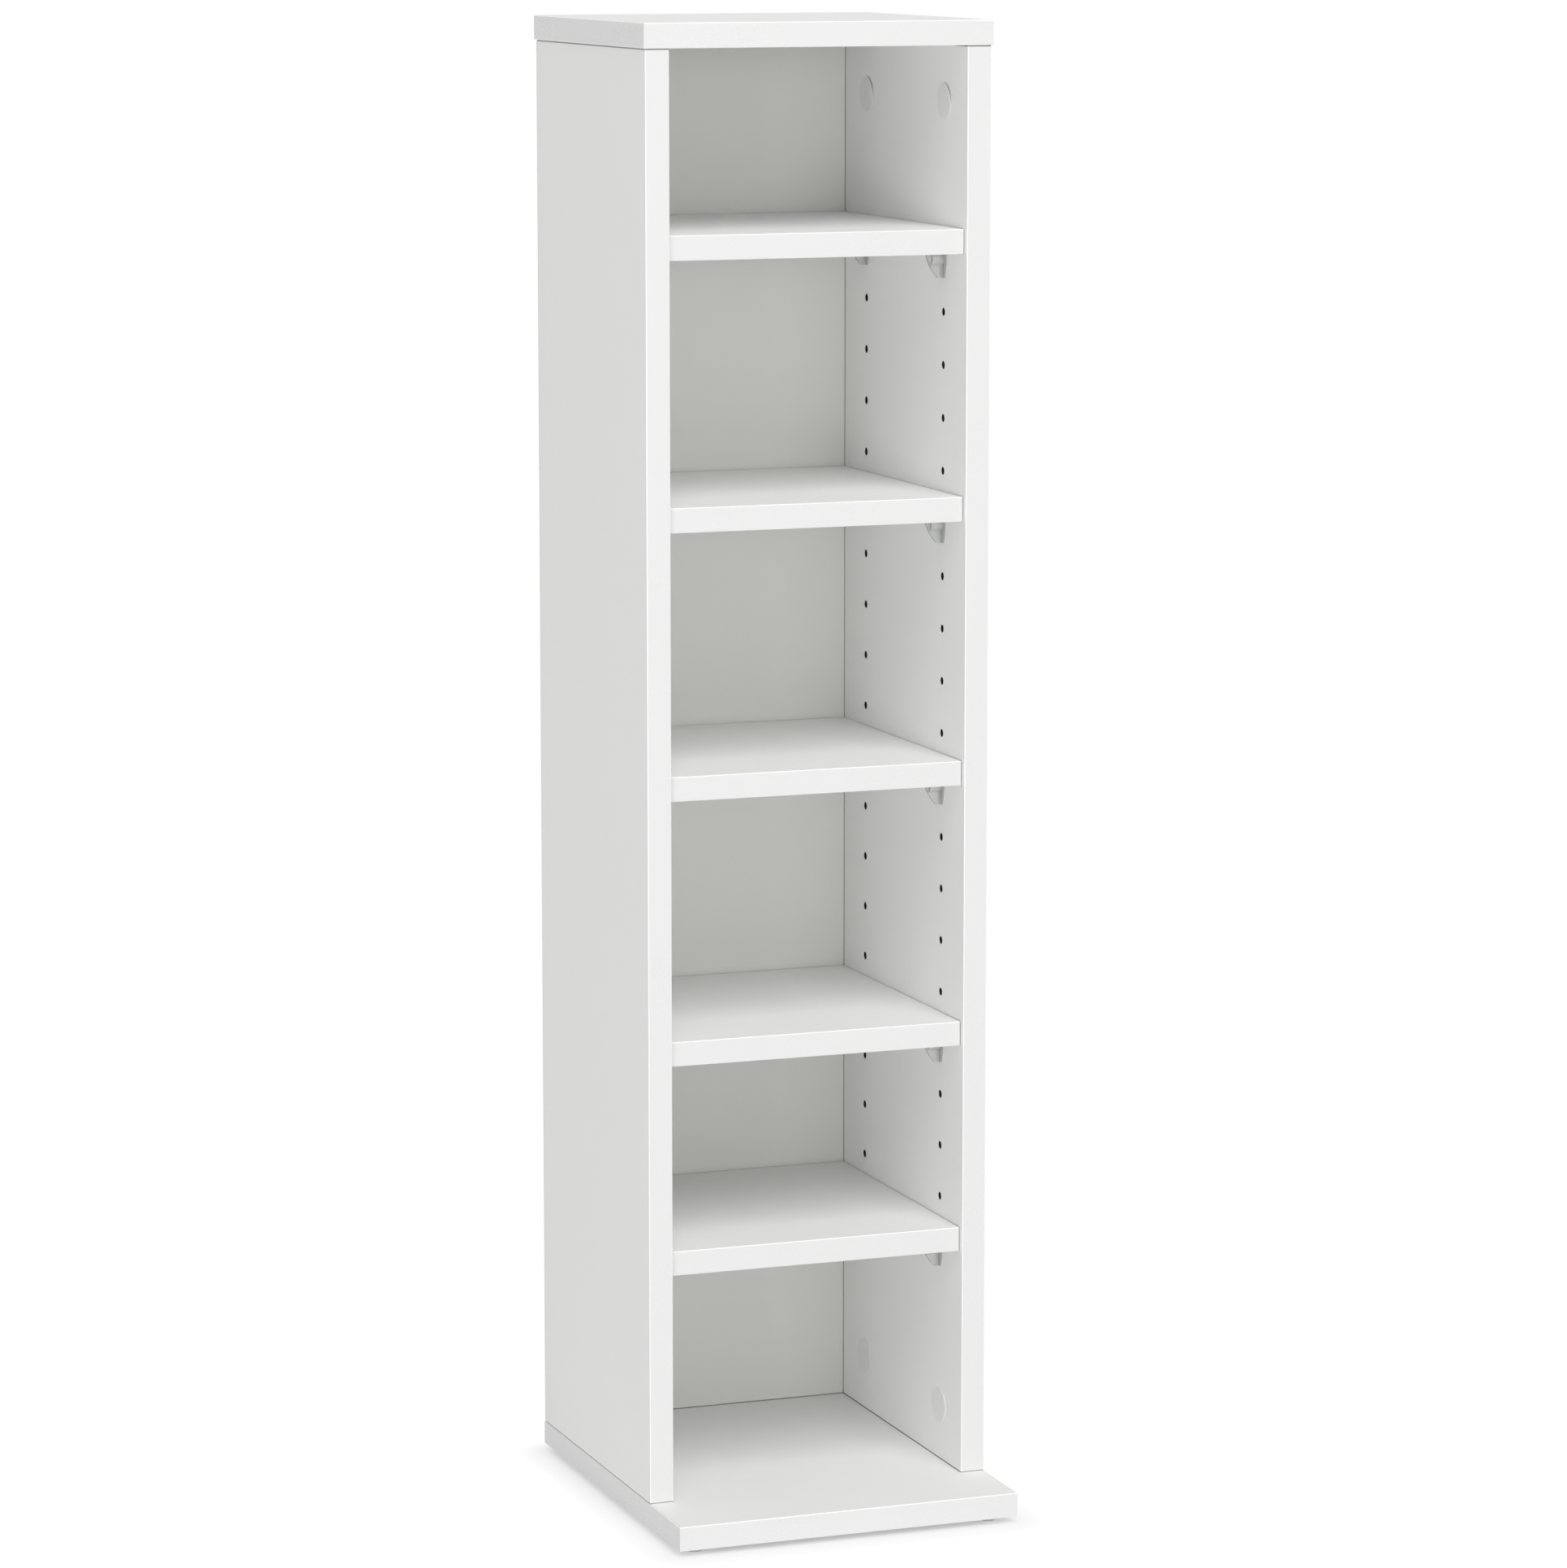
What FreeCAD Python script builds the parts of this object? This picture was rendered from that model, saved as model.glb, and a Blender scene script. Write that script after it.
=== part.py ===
import FreeCAD, Part
import math
import os
import Sketcher

# A narrow bookcase of white faced chipboard, as a parametric document in millimetres.
# +Z is up and -Y is the front. The origin is on the floor, under the middle of the whole case.

# Driving dimensions, one cell each on the sheet
SIZES = (
    ("board", 15.0, "thickness of the boards"),
    ("side_span", 217.0, "width over the two sides"),
    ("side_depth", 202.0, "depth of a side, its edge band included"),
    ("side_length", 870.0, "height of a side"),
    ("top_overhang_end", 1.0, "how far the top stands out past each side"),
    ("top_overhang_front", 1.0, "how far the top stands out in front of the sides"),
    ("base_projection", 54.0, "how far the base stands out in front of the sides"),
    ("back_thickness", 3.0, "thickness of the back panel"),
    ("back_inset", 0.5, "how far the back panel's edges stop short all round"),
    ("band", 1.0, "thickness of an edge band"),
    ("band_round", 0.8, "radius on an edge band's outer edges"),
    ("shelf_side_gap", 0.5, "gap between a shelf and each side"),
    ("shelf_set_back", 4.0, "how far a shelf's front lies behind the sides' fronts"),
    ("shelf_back_gap", 1.0, "gap between a shelf and the back panel"),
    ("row_setback", 37.0, "front row of holes, from the front of the side"),
    ("row_spacing", 128.0, "distance between the two rows of holes"),
    ("hole_pitch", 32.0, "distance from one peg hole to the next"),
    ("hole_end", 128.0, "top peg hole, from the end of the side, and the least at its lower end"),
    ("peg_hole_radius", 2.5, "radius of a peg hole"),
    ("peg_hole_depth", 10.0, "depth of a peg hole"),
    ("peg_clearance", 0.05, "radial play of a peg's pin in its hole"),
    ("peg_pin_length", 9.0, "length of a peg's pin in the side"),
    ("peg_rise", 4.5, "top of a peg's platform over its pin's axis"),
    ("peg_reach", 12.0, "how far a peg stands out from the side"),
    ("peg_width", 10.0, "width of a peg's platform"),
    ("peg_platform", 1.6, "thickness of a peg's platform"),
    ("peg_plate", 1.2, "thickness of a peg's plate on the side"),
    ("peg_drop", 16.0, "height of a peg's plate"),
    ("peg_tip", 5.0, "width of the plate at its lower end"),
    ("peg_plate_curve", 52.0, "radius of the plate's curved edges"),
    ("peg_rib", 2.4, "thickness of a peg's rib"),
    ("peg_rib_foot", 4.0, "how far the rib stands out at its lower end"),
    ("peg_rib_curve", 30.0, "radius of the rib's curved edge"),
    ("peg_boss_radius", 4.2, "radius of the boss under a peg's platform"),
    ("peg_boss_reach", 8.7, "how far the boss stands out from the side"),
    ("cam_setback", 34.0, "a cam's axis, from the end of the side"),
    ("cam_bore_radius", 7.5, "radius of a cam's bore"),
    ("cam_skin", 2.5, "wood left behind a cam's bore"),
    ("cam_clearance", 0.2, "radial play of a cam in its bore"),
    ("cam_face_gap", 0.3, "how far a cam's face lies below the wood"),
    ("cam_throw", 0.5, "eccentricity of a cam's hollow, which draws the bolt in"),
    ("cam_head_gap", 0.1, "gap over a bolt's head in a locked cam"),
    ("cam_head_side_gap", 0.3, "gap beside a bolt's head in a cam"),
    ("cam_neck_gap", 0.3, "gap on each side of a bolt's neck in a cam's slot"),
    ("cam_mouth_gap", 0.15, "gap round a bolt's head in a cam's mouth"),
    ("cam_slot_end", 28.0, "degrees that a cam's slot runs on past the bolt's axis at both ends"),
    ("cam_drive_length", 7.0, "length of a cam's drive cross"),
    ("cam_drive_width", 1.4, "width of a cam's drive cross"),
    ("cam_drive_depth", 2.0, "depth of a cam's drive cross"),
    ("bolt_head_radius", 2.8, "radius of a bolt's ball head"),
    ("bolt_head_offset", 2.5, "centre of the ball head, from the cam's axis"),
    ("bolt_neck_radius", 1.8, "radius of a bolt's neck"),
    ("bolt_neck_gap", 0.8, "how far a bolt's neck reaches past the cam's bore"),
    ("bolt_shank_radius", 3.25, "radius of a bolt's shank"),
    ("bolt_shank_clearance", 0.75, "radial play of a bolt's shank in its bore"),
    ("bolt_thread_radius", 2.4, "radius of a bolt's screwed end"),
    ("bolt_thread_length", 10.0, "length of a bolt's screwed end"),
    ("dowel_radius", 4.0, "radius of a dowel"),
    ("dowel_in_side", 20.0, "length of a dowel in the side"),
    ("dowel_in_board", 10.0, "length of a dowel in the top or base"),
    ("dowel_step", 32.0, "a dowel's axis, from the row of holes beside it"),
    ("dowel_chamfer", 0.8, "chamfer on a dowel's ends"),
    ("fixing_clearance", 0.05, "radial play of dowels, screwed ends and nails"),
    ("fixing_end_gap", 0.5, "space left at the end of a blind fixing hole"),
    ("cap_radius", 11.0, "radius of a cover over a cam"),
    ("cap_thickness", 0.8, "thickness of a cover"),
    ("cap_chamfer", 0.4, "chamfer on a cover's rim"),
    ("glide_height", 4.0, "height of a floor glide"),
    ("glide_radius", 5.5, "radius of a floor glide"),
    ("glide_inset", 14.0, "a glide's axis, from the edges of the base"),
    ("glide_chamfer", 1.2, "chamfer on a glide's lower rim"),
    ("glide_nail_radius", 1.0, "radius of a glide's nail"),
    ("glide_nail_depth", 9.0, "length of a glide's nail in the base"),
    ("glide_nail_head_radius", 2.0, "radius of a glide nail's head"),
    ("glide_nail_head", 0.8, "thickness of a glide nail's head"),
    ("glide_nail_recess", 0.7, "how far a glide nail's head lies above the floor"),
    ("back_nail_radius", 0.8, "radius of a back panel nail"),
    ("back_nail_depth", 17.0, "length of a back panel nail in the side"),
    ("back_nail_head_radius", 1.9, "radius of a back panel nail's head"),
    ("back_nail_head", 0.7, "thickness of a back panel nail's head"),
    ("back_nail_end", 45.0, "lowest back panel nail, from the end of the side, and the least at its top"),
    ("back_nail_pitch", 130.0, "distance from one back panel nail to the next"),
)

# Counts and turns
SHELF_COUNT = 5
CAM_HALF_TURN = 180

# Places that several pieces share
BASE_FRONT = "-(Dims.base_projection + Dims.side_depth + Dims.back_thickness) / 2"
SIDE_FRONT = "(Dims.base_projection - Dims.side_depth - Dims.back_thickness) / 2"
BACK_REAR = "(Dims.base_projection + Dims.side_depth + Dims.back_thickness) / 2"
BASE_TOP = "Dims.glide_height + Dims.board"
SIDE_TOP = f"{BASE_TOP} + Dims.side_length"
CASE_DEPTH = "Dims.side_depth + Dims.back_thickness"
INNER_FACE = "Dims.side_span / 2 - Dims.board"
SIDE_MIDDLE = "Dims.side_span / 2 - Dims.board / 2"

# Whole steps of peg holes and back panel nails along a side, with an allowance for round-off
STEP_ALLOWANCE = 0.001
HOLE_STEPS = ("floor((Dims.side_length - 2 * Dims.hole_end) / Dims.hole_pitch"
              f" + {STEP_ALLOWANCE})")
BACK_NAIL_STEPS = ("floor((Dims.side_length - 2 * Dims.back_nail_end) / Dims.back_nail_pitch"
                   f" + {STEP_ALLOWANCE})")

# Rows of fittings, measured back from the front of the sides
ROWS = {"front": "Dims.row_setback", "rear": "Dims.row_setback + Dims.row_spacing"}
DOWEL_ROWS = (
    "Dims.row_setback + Dims.dowel_step",
    "Dims.row_setback + Dims.row_spacing - Dims.dowel_step",
)

# Depths and radii of holes that take another piece
CAM_BORE_DEPTH = "Dims.board - Dims.cam_skin"
BOLT_BORE_RADIUS = "Dims.bolt_shank_radius + Dims.bolt_shank_clearance"
BOLT_HOLE_RADIUS = "Dims.bolt_thread_radius + Dims.fixing_clearance"
BOLT_HOLE_DEPTH = "Dims.bolt_thread_length + Dims.fixing_end_gap"
DOWEL_HOLE_RADIUS = "Dims.dowel_radius + Dims.fixing_clearance"
BACK_NAIL_HOLE_RADIUS = "Dims.back_nail_radius + Dims.fixing_clearance"
GLIDE_NAIL_HOLE_RADIUS = "Dims.glide_nail_radius + Dims.fixing_clearance"

# Quarter and half turns that set a piece in its place
UPRIGHT = FreeCAD.Rotation()
HALF_ABOUT_X = FreeCAD.Rotation(FreeCAD.Vector(1, 0, 0), 180)
HALF_ABOUT_Y = FreeCAD.Rotation(FreeCAD.Vector(0, 1, 0), 180)
HALF_ABOUT_Z = FreeCAD.Rotation(FreeCAD.Vector(0, 0, 1), 180)
X_TO_Z = FreeCAD.Rotation(FreeCAD.Vector(0, 1, 0), -90)
FRONT_TO_LEFT = FreeCAD.Rotation(FreeCAD.Vector(0, 0, 1), -90)
FRONT_TO_RIGHT = FreeCAD.Rotation(FreeCAD.Vector(0, 0, 1), 90)

doc = FreeCAD.newDocument("Bookcase")
dims = doc.addObject("Spreadsheet::Sheet", "Dims")
sub_parts = []


def fill_sheet():
    """Writes the driving dimensions into the sheet, each with its alias and its meaning."""
    for row, (alias, size, meaning) in enumerate(SIZES, start=1):
        dims.set(f"A{row}", alias)
        dims.set(f"B{row}", str(size))
        dims.set(f"C{row}", meaning)
        dims.setAlias(f"B{row}", alias)
    doc.recompute()


def value(formula):
    """Returns what a formula on the sheet comes to, for a sketch's first position."""
    return float(dims.evalExpression(formula))


def bind(target, formulas):
    """Ties properties of an object to formulas on the sheet."""
    for prop, formula in formulas.items():
        target.setExpression(prop, formula)


def place(target, x, y, z, turn=UPRIGHT):
    """Turns an object and ties its place to formulas on the sheet."""
    target.Placement = FreeCAD.Placement(FreeCAD.Vector(), turn)
    bind(target, {"Placement.Base.x": x, "Placement.Base.y": y, "Placement.Base.z": z})


# Sketches and features

def new_body(name):
    """Starts a body, which is a sub-part or the pattern for several of them."""
    body = doc.addObject("PartDesign::Body", name)
    body.Label = name
    return body


def sketch_on(body, name, role, lift=None):
    """Puts a sketch on one of the body's own origin planes, lifted along the plane's normal."""
    plane = next(feature for feature in body.Origin.OriginFeatures if feature.Role == role)
    sketch = body.newObject("Sketcher::SketchObject", f"{body.Name}_{name}")
    sketch.AttachmentSupport = [(plane, "")]
    sketch.MapMode = "FlatFace"
    if lift:
        bind(sketch, {"AttachmentOffset.Base.z": lift})
    return sketch


def dimension(sketch, kind, formula, *where):
    """Adds one driving dimension to a sketch and ties it to the sheet."""
    number = sketch.addConstraint(Sketcher.Constraint(kind, *where, value(formula)))
    bind(sketch, {f"Constraints[{number}]": formula})


def pin_point(sketch, geometry, point, x, y):
    """Holds a point of a sketch at formulas for x and y, or on an axis where one is zero."""
    for kind, formula, axis in (("DistanceX", x, -2), ("DistanceY", y, -1)):
        if formula == "0":
            sketch.addConstraint(Sketcher.Constraint("PointOnObject", geometry, point, axis))
        else:
            dimension(sketch, kind, formula, -1, 1, geometry, point)


def short_arc(start, end, radius, side):
    """Returns the short arc between two points, with its centre to the left (1) or the right (-1)."""
    chord = end - start
    across = FreeCAD.Vector(-chord.y, chord.x, 0).normalize()
    reach = math.sqrt(radius ** 2 - (chord.Length / 2) ** 2)
    centre = (start + end) / 2 + across * reach * side
    circle = Part.Circle(centre, FreeCAD.Vector(0, 0, 1), radius)
    first, last = (start, end) if side > 0 else (end, start)
    return Part.ArcOfCircle(circle, circle.parameter(first), circle.parameter(last))


def outline(sketch, corners, arcs=None):
    """Draws a closed outline through dimensioned corners.

    arcs maps a side's number to its radius and to the hand on which its centre lies.
    """
    arcs = arcs or {}
    points = [FreeCAD.Vector(value(x), value(y), 0) for x, y in corners]
    ends = []
    for number, (x, y) in enumerate(corners):
        start = points[number]
        end = points[(number + 1) % len(points)]
        if number in arcs:
            radius, side = arcs[number]
            geometry = sketch.addGeometry(short_arc(start, end, value(radius), side), False)
            dimension(sketch, "Radius", radius, geometry)
            ends.append((geometry, 1, 2) if side > 0 else (geometry, 2, 1))
        else:
            geometry = sketch.addGeometry(Part.LineSegment(start, end), False)
            ends.append((geometry, 1, 2))
        pin_point(sketch, ends[number][0], ends[number][1], x, y)
    for number, (geometry, _, last) in enumerate(ends):
        following, first, _ = ends[(number + 1) % len(ends)]
        sketch.addConstraint(Sketcher.Constraint("Coincident", geometry, last, following, first))
    return sketch


def rectangle(sketch, width, height):
    """Draws a rectangle with one corner on the sketch's origin."""
    return outline(sketch, (("0", "0"), (width, "0"), (width, height), ("0", height)))


def middle_rectangle(sketch, width, height):
    """Draws a rectangle about the sketch's origin."""
    right, top = f"({width}) / 2", f"({height}) / 2"
    left, bottom = f"-({width}) / 2", f"-({height}) / 2"
    return outline(sketch, ((left, bottom), (right, bottom), (right, top), (left, top)))


def circles(sketch, centres, radius):
    """Draws equal circles about dimensioned centres."""
    for x, y in centres:
        middle = FreeCAD.Vector(value(x), value(y), 0)
        circle = Part.Circle(middle, FreeCAD.Vector(0, 0, 1), value(radius))
        geometry = sketch.addGeometry(circle, False)
        pin_point(sketch, geometry, 3, x, y)
        dimension(sketch, "Radius", radius, geometry)
    return sketch


def pad(sketch, length, backwards=False, both_ways=False):
    """Pads a sketch along its plane's normal, against it, or evenly to both sides."""
    body = sketch.getParentGeoFeatureGroup()
    feature = body.newObject("PartDesign::Pad", f"{sketch.Name}_pad")
    feature.Profile = sketch
    feature.Reversed = backwards
    if both_ways:
        feature.SideType = "Symmetric"
    bind(feature, {"Length": length})
    doc.recompute()
    return feature


def check_cut(body, before, name):
    """Stops the build when a cut has taken nothing away."""
    doc.recompute()
    if body.Shape.isNull() or body.Shape.Volume >= before:
        raise RuntimeError(f"{name} cuts nothing")


def pocket(sketch, depth, along_normal=False):
    """Cuts a sketch into its body, against its plane's normal or along it."""
    body = sketch.getParentGeoFeatureGroup()
    before = body.Shape.Volume
    feature = body.newObject("PartDesign::Pocket", f"{sketch.Name}_pocket")
    feature.Profile = sketch
    feature.Reversed = along_normal
    bind(feature, {"Length": depth})
    check_cut(body, before, feature.Name)
    return feature


def repeat(features, sketch, axis, pitch, steps, backwards=False):
    """Repeats cuts in a line along one of their sketch's axes, once for each step of a pitch."""
    body = sketch.getParentGeoFeatureGroup()
    before = body.Shape.Volume
    pattern = body.newObject("PartDesign::LinearPattern", f"{sketch.Name}_row")
    pattern.Originals = features
    pattern.Direction = (sketch, [axis])
    pattern.Reversed = backwards
    bind(pattern, {"Occurrences": f"{steps} + 1", "Length": f"{pitch} * {steps}"})
    body.Tip = pattern
    check_cut(body, before, pattern.Name)
    return pattern


def soften(body, kind, size, chosen):
    """Rounds or chamfers the edges of a body that a test chooses."""
    base = body.Tip
    names = [f"Edge{n}" for n, edge in enumerate(base.Shape.Edges, start=1) if chosen(edge)]
    feature = body.newObject(f"PartDesign::{kind}", f"{body.Name}_{kind}")
    feature.Base = (base, names)
    bind(feature, {"Radius" if kind == "Fillet" else "Size": size})
    doc.recompute()
    return feature


# Sub-parts and their copies

def sub_part(target):
    """Counts an object as a piece of the bookcase."""
    sub_parts.append(target)
    return target


def copy_of(pattern, name, x, y, z, turn=UPRIGHT):
    """Sets one more of a pattern piece at a place of its own."""
    link = doc.addObject("App::Link", name)
    link.Label = name
    link.LinkedObject = pattern
    place(link, x, y, z, turn)
    return link


def group(name, copies):
    """Gathers copies of a pattern piece into one sub-part."""
    compound = doc.addObject("Part::Compound", name)
    compound.Label = name
    compound.Links = copies
    return sub_part(compound)


def row_y(row):
    """Returns where a row of fittings lies, from its distance behind the sides' fronts."""
    return f"{SIDE_FRONT} + {row}"


# Boards

def drill(body, name, role, centres, radius, depth, along_normal=False, lift=None):
    """Drills equal blind holes into a board."""
    sketch = circles(sketch_on(body, name, role, lift), centres, radius)
    return sketch, pocket(sketch, depth, along_normal)


def make_end_board(name, width, depth, side_inset, front_inset, underside):
    """Makes the top or base: a board with the fixing holes of the sides.

    side_inset and front_inset run from the board's own edges to the sides' outer and front faces.
    """
    body = sub_part(new_body(name))
    pad(rectangle(sketch_on(body, "plan", "XY_Plane"), width, depth), "Dims.board")
    across = (f"{side_inset} + Dims.board / 2", f"{width} - ({side_inset}) - Dims.board / 2")
    lift = None if underside else "Dims.board"
    bolts = [(x, f"{front_inset} + {row}") for x in across for row in ROWS.values()]
    dowels = [(x, f"{front_inset} + {row}") for x in across for row in DOWEL_ROWS]
    drill(body, "bolts", "XY_Plane", bolts, BOLT_HOLE_RADIUS, BOLT_HOLE_DEPTH, underside, lift)
    dowel_depth = "Dims.dowel_in_board + Dims.fixing_end_gap"
    drill(body, "dowels", "XY_Plane", dowels, DOWEL_HOLE_RADIUS, dowel_depth, underside, lift)
    return body


def make_top():
    """Makes the top, which lies over the sides and the back panel."""
    width = "Dims.side_span + 2 * Dims.top_overhang_end - 2 * Dims.band"
    depth = f"{CASE_DEPTH} + Dims.top_overhang_front - Dims.band"
    side_inset = "Dims.top_overhang_end - Dims.band"
    front_inset = "Dims.top_overhang_front - Dims.band"
    body = make_end_board("top_panel", width, depth, side_inset, front_inset, True)
    place(body, f"-({width}) / 2", f"{SIDE_FRONT} - ({front_inset})", SIDE_TOP)


def glide_spots():
    """Returns the four places of the floor glides, from the middle of the case."""
    across = "Dims.side_span / 2 - Dims.glide_inset"
    front = f"{BASE_FRONT} + Dims.glide_inset"
    rear = f"{BACK_REAR} - Dims.glide_inset"
    return [(x, y) for x in (f"-({across})", across) for y in (front, rear)]


def make_base():
    """Makes the base, which carries the sides and the back panel and stands out in front."""
    width = "Dims.side_span - 2 * Dims.band"
    depth = f"Dims.base_projection + {CASE_DEPTH} - Dims.band"
    front_inset = "Dims.base_projection - Dims.band"
    body = make_end_board("base_panel", width, depth, "-Dims.band", front_inset, False)
    left, front = f"-({width}) / 2", f"{BASE_FRONT} + Dims.band"
    place(body, left, front, "Dims.glide_height")
    nails = [(f"{x} - ({left})", f"{y} - ({front})") for x, y in glide_spots()]
    depth_of_nail = "Dims.glide_nail_depth + Dims.fixing_end_gap"
    drill(body, "nail_holes", "XY_Plane", nails, GLIDE_NAIL_HOLE_RADIUS, depth_of_nail, True)


def make_side(hand, direction):
    """Makes one side with its rows of peg holes and the bores of its fixings.

    direction is 1 for the right side and -1 for the left. The inner face is on the body's YZ plane.
    """
    outwards = direction > 0
    body = sub_part(new_body(f"{hand}_side_panel"))
    place(body, f"{direction} * ({INNER_FACE})", f"{SIDE_FRONT} + Dims.band", BASE_TOP)
    depth = "Dims.side_depth - Dims.band"
    face = rectangle(sketch_on(body, "face", "YZ_Plane"), depth, "Dims.side_length")
    pad(face, "Dims.board", backwards=not outwards)

    rows = [f"{row} - Dims.band" for row in ROWS.values()]
    tops = [(y, "Dims.side_length - Dims.hole_end") for y in rows]
    sketch, holes = drill(body, "pegs", "YZ_Plane", tops, "Dims.peg_hole_radius",
                          "Dims.peg_hole_depth", outwards)
    repeat([holes], sketch, "V_Axis", "Dims.hole_pitch", HOLE_STEPS, backwards=True)

    heights = ("Dims.cam_setback", "Dims.side_length - Dims.cam_setback")
    cams = [(y, z) for y in rows for z in heights]
    drill(body, "cams", "YZ_Plane", cams, "Dims.cam_bore_radius", CAM_BORE_DEPTH, outwards)

    middle = f"{direction} * Dims.board / 2"
    bolts = [(middle, y) for y in rows]
    dowels = [(middle, f"{row} - Dims.band") for row in DOWEL_ROWS]
    dowel_depth = "Dims.dowel_in_side + Dims.fixing_end_gap"
    for end, lift in (("lower", None), ("upper", "Dims.side_length")):
        upwards = end == "lower"
        drill(body, f"{end}_bolts", "XY_Plane", bolts, BOLT_BORE_RADIUS, "Dims.cam_setback",
              upwards, lift)
        drill(body, f"{end}_dowels", "XY_Plane", dowels, DOWEL_HOLE_RADIUS, dowel_depth,
              upwards, lift)

    nail_depth = "Dims.back_nail_depth + Dims.fixing_end_gap"
    sketch, holes = drill(body, "nail_holes", "XZ_Plane", [(middle, "Dims.back_nail_end")],
                          BACK_NAIL_HOLE_RADIUS, nail_depth, True, f"-({depth})")
    repeat([holes], sketch, "V_Axis", "Dims.back_nail_pitch", BACK_NAIL_STEPS)


def make_back():
    """Makes the back panel, with its nail holes sunk for the heads."""
    body = sub_part(new_body("back_panel"))
    width = "Dims.side_span - 2 * Dims.back_inset"
    height = "Dims.side_length - 2 * Dims.back_inset"
    left = f"-({width}) / 2"
    place(body, left, BACK_REAR, f"{BASE_TOP} + Dims.back_inset")
    pad(rectangle(sketch_on(body, "face", "XZ_Plane"), width, height), "Dims.back_thickness")
    first = "Dims.back_nail_end - Dims.back_inset"
    lines = [(f"{x} - ({left})", first) for x in (f"-({SIDE_MIDDLE})", SIDE_MIDDLE)]
    heads, sunk = drill(body, "nail_heads", "XZ_Plane", lines,
                        "Dims.back_nail_head_radius + Dims.fixing_clearance",
                        "Dims.back_nail_head", True)
    _, holes = drill(body, "nail_holes", "XZ_Plane", lines, BACK_NAIL_HOLE_RADIUS,
                     "Dims.back_thickness", True)
    repeat([sunk, holes], heads, "V_Axis", "Dims.back_nail_pitch", BACK_NAIL_STEPS)


def peg_z(number):
    """Returns the height of the pegs under a shelf, counted from the top.

    The shelves are spread over the whole row of holes, each at the next hole down.
    """
    step = f"ceil({number - 1} * {HOLE_STEPS} / {SHELF_COUNT - 1})"
    return f"{SIDE_TOP} - Dims.hole_end - {step} * Dims.hole_pitch"


def make_shelf(number):
    """Makes one loose shelf, which lies on its pegs."""
    body = sub_part(new_body(f"shelf_{number}"))
    width = f"2 * ({INNER_FACE}) - 2 * Dims.shelf_side_gap"
    depth = "Dims.side_depth - Dims.shelf_set_back - Dims.shelf_back_gap - Dims.band"
    pad(rectangle(sketch_on(body, "plan", "XY_Plane"), width, depth), "Dims.board")
    front = f"{SIDE_FRONT} + Dims.shelf_set_back"
    underside = f"{peg_z(number)} + Dims.peg_rise"
    place(body, f"-({width}) / 2", f"{front} + Dims.band", underside)
    band = sub_part(make_band(f"shelf_{number}_edge_band", width))
    place(band, f"-({width}) / 2", front, underside)


# Edge bands

def make_band(name, length):
    """Makes one edge band along +X, with its rounded outer face towards -Y."""
    body = new_body(name)
    profile = rectangle(sketch_on(body, "profile", "YZ_Plane"), "Dims.band", "Dims.board")
    pad(profile, length)

    def is_outer(edge):
        along_x = abs(edge.tangentAt(edge.FirstParameter).x) > 0.5
        return along_x and abs(edge.CenterOfMass.y) < value("Dims.band") / 2

    soften(body, "Fillet", "Dims.band_round", is_outer)
    return body


def make_side_bands():
    """Makes the front edge bands of the two sides."""
    for hand, right_edge in (("left", f"-({INNER_FACE})"), ("right", "Dims.side_span / 2")):
        band = sub_part(make_band(f"{hand}_side_edge_band", "Dims.side_length"))
        place(band, right_edge, SIDE_FRONT, BASE_TOP, X_TO_Z)


def make_end_board_bands(name, half_width, front, height):
    """Makes the bands on the front and both ends of the top or base."""
    end_length = f"{BACK_REAR} - ({front}) - Dims.band"
    front_band = make_band(f"{name}_front_band", f"2 * ({half_width})")
    left_band = make_band(f"{name}_left_band", end_length)
    right_band = make_band(f"{name}_right_band", end_length)
    place(front_band, f"-({half_width})", front, height)
    place(left_band, f"-({half_width})", BACK_REAR, height, FRONT_TO_LEFT)
    place(right_band, half_width, f"{front} + Dims.band", height, FRONT_TO_RIGHT)
    group(f"{name}_edge_bands", [front_band, left_band, right_band])


# Fittings

def make_peg_pattern():
    """Makes a clear peg for the right side, with its pin's axis on the X axis and the side at x = 0."""
    body = new_body("peg_pattern")
    half, tip = "Dims.peg_width / 2", "Dims.peg_tip / 2"
    top, bottom = "Dims.peg_rise", "Dims.peg_rise - Dims.peg_drop"
    curve = ("Dims.peg_plate_curve", -1)
    plate = outline(
        sketch_on(body, "plate", "YZ_Plane"),
        ((f"-{half}", top), (half, top), (tip, bottom), (f"-{tip}", bottom)),
        {1: curve, 3: curve},
    )
    pad(plate, "Dims.peg_plate", backwards=True)
    reach = "-Dims.peg_reach"
    platform = outline(
        sketch_on(body, "platform", "XY_Plane", top),
        ((reach, f"-{half}"), ("0", f"-{half}"), ("0", half), (reach, half)),
    )
    pad(platform, "Dims.peg_platform", backwards=True)
    rib = outline(
        sketch_on(body, "rib", "XZ_Plane"),
        (("0", top), ("0", bottom), ("-Dims.peg_rib_foot", bottom), (reach, top)),
        {2: ("Dims.peg_rib_curve", -1)},
    )
    pad(rib, "Dims.peg_rib", both_ways=True)
    middle = [("0", "0")]
    boss = circles(sketch_on(body, "boss", "YZ_Plane"), middle, "Dims.peg_boss_radius")
    pad(boss, "Dims.peg_boss_reach", backwards=True)
    pin_radius = "Dims.peg_hole_radius - Dims.peg_clearance"
    pad(circles(sketch_on(body, "pin", "YZ_Plane"), middle, pin_radius), "Dims.peg_pin_length")
    return body


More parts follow.
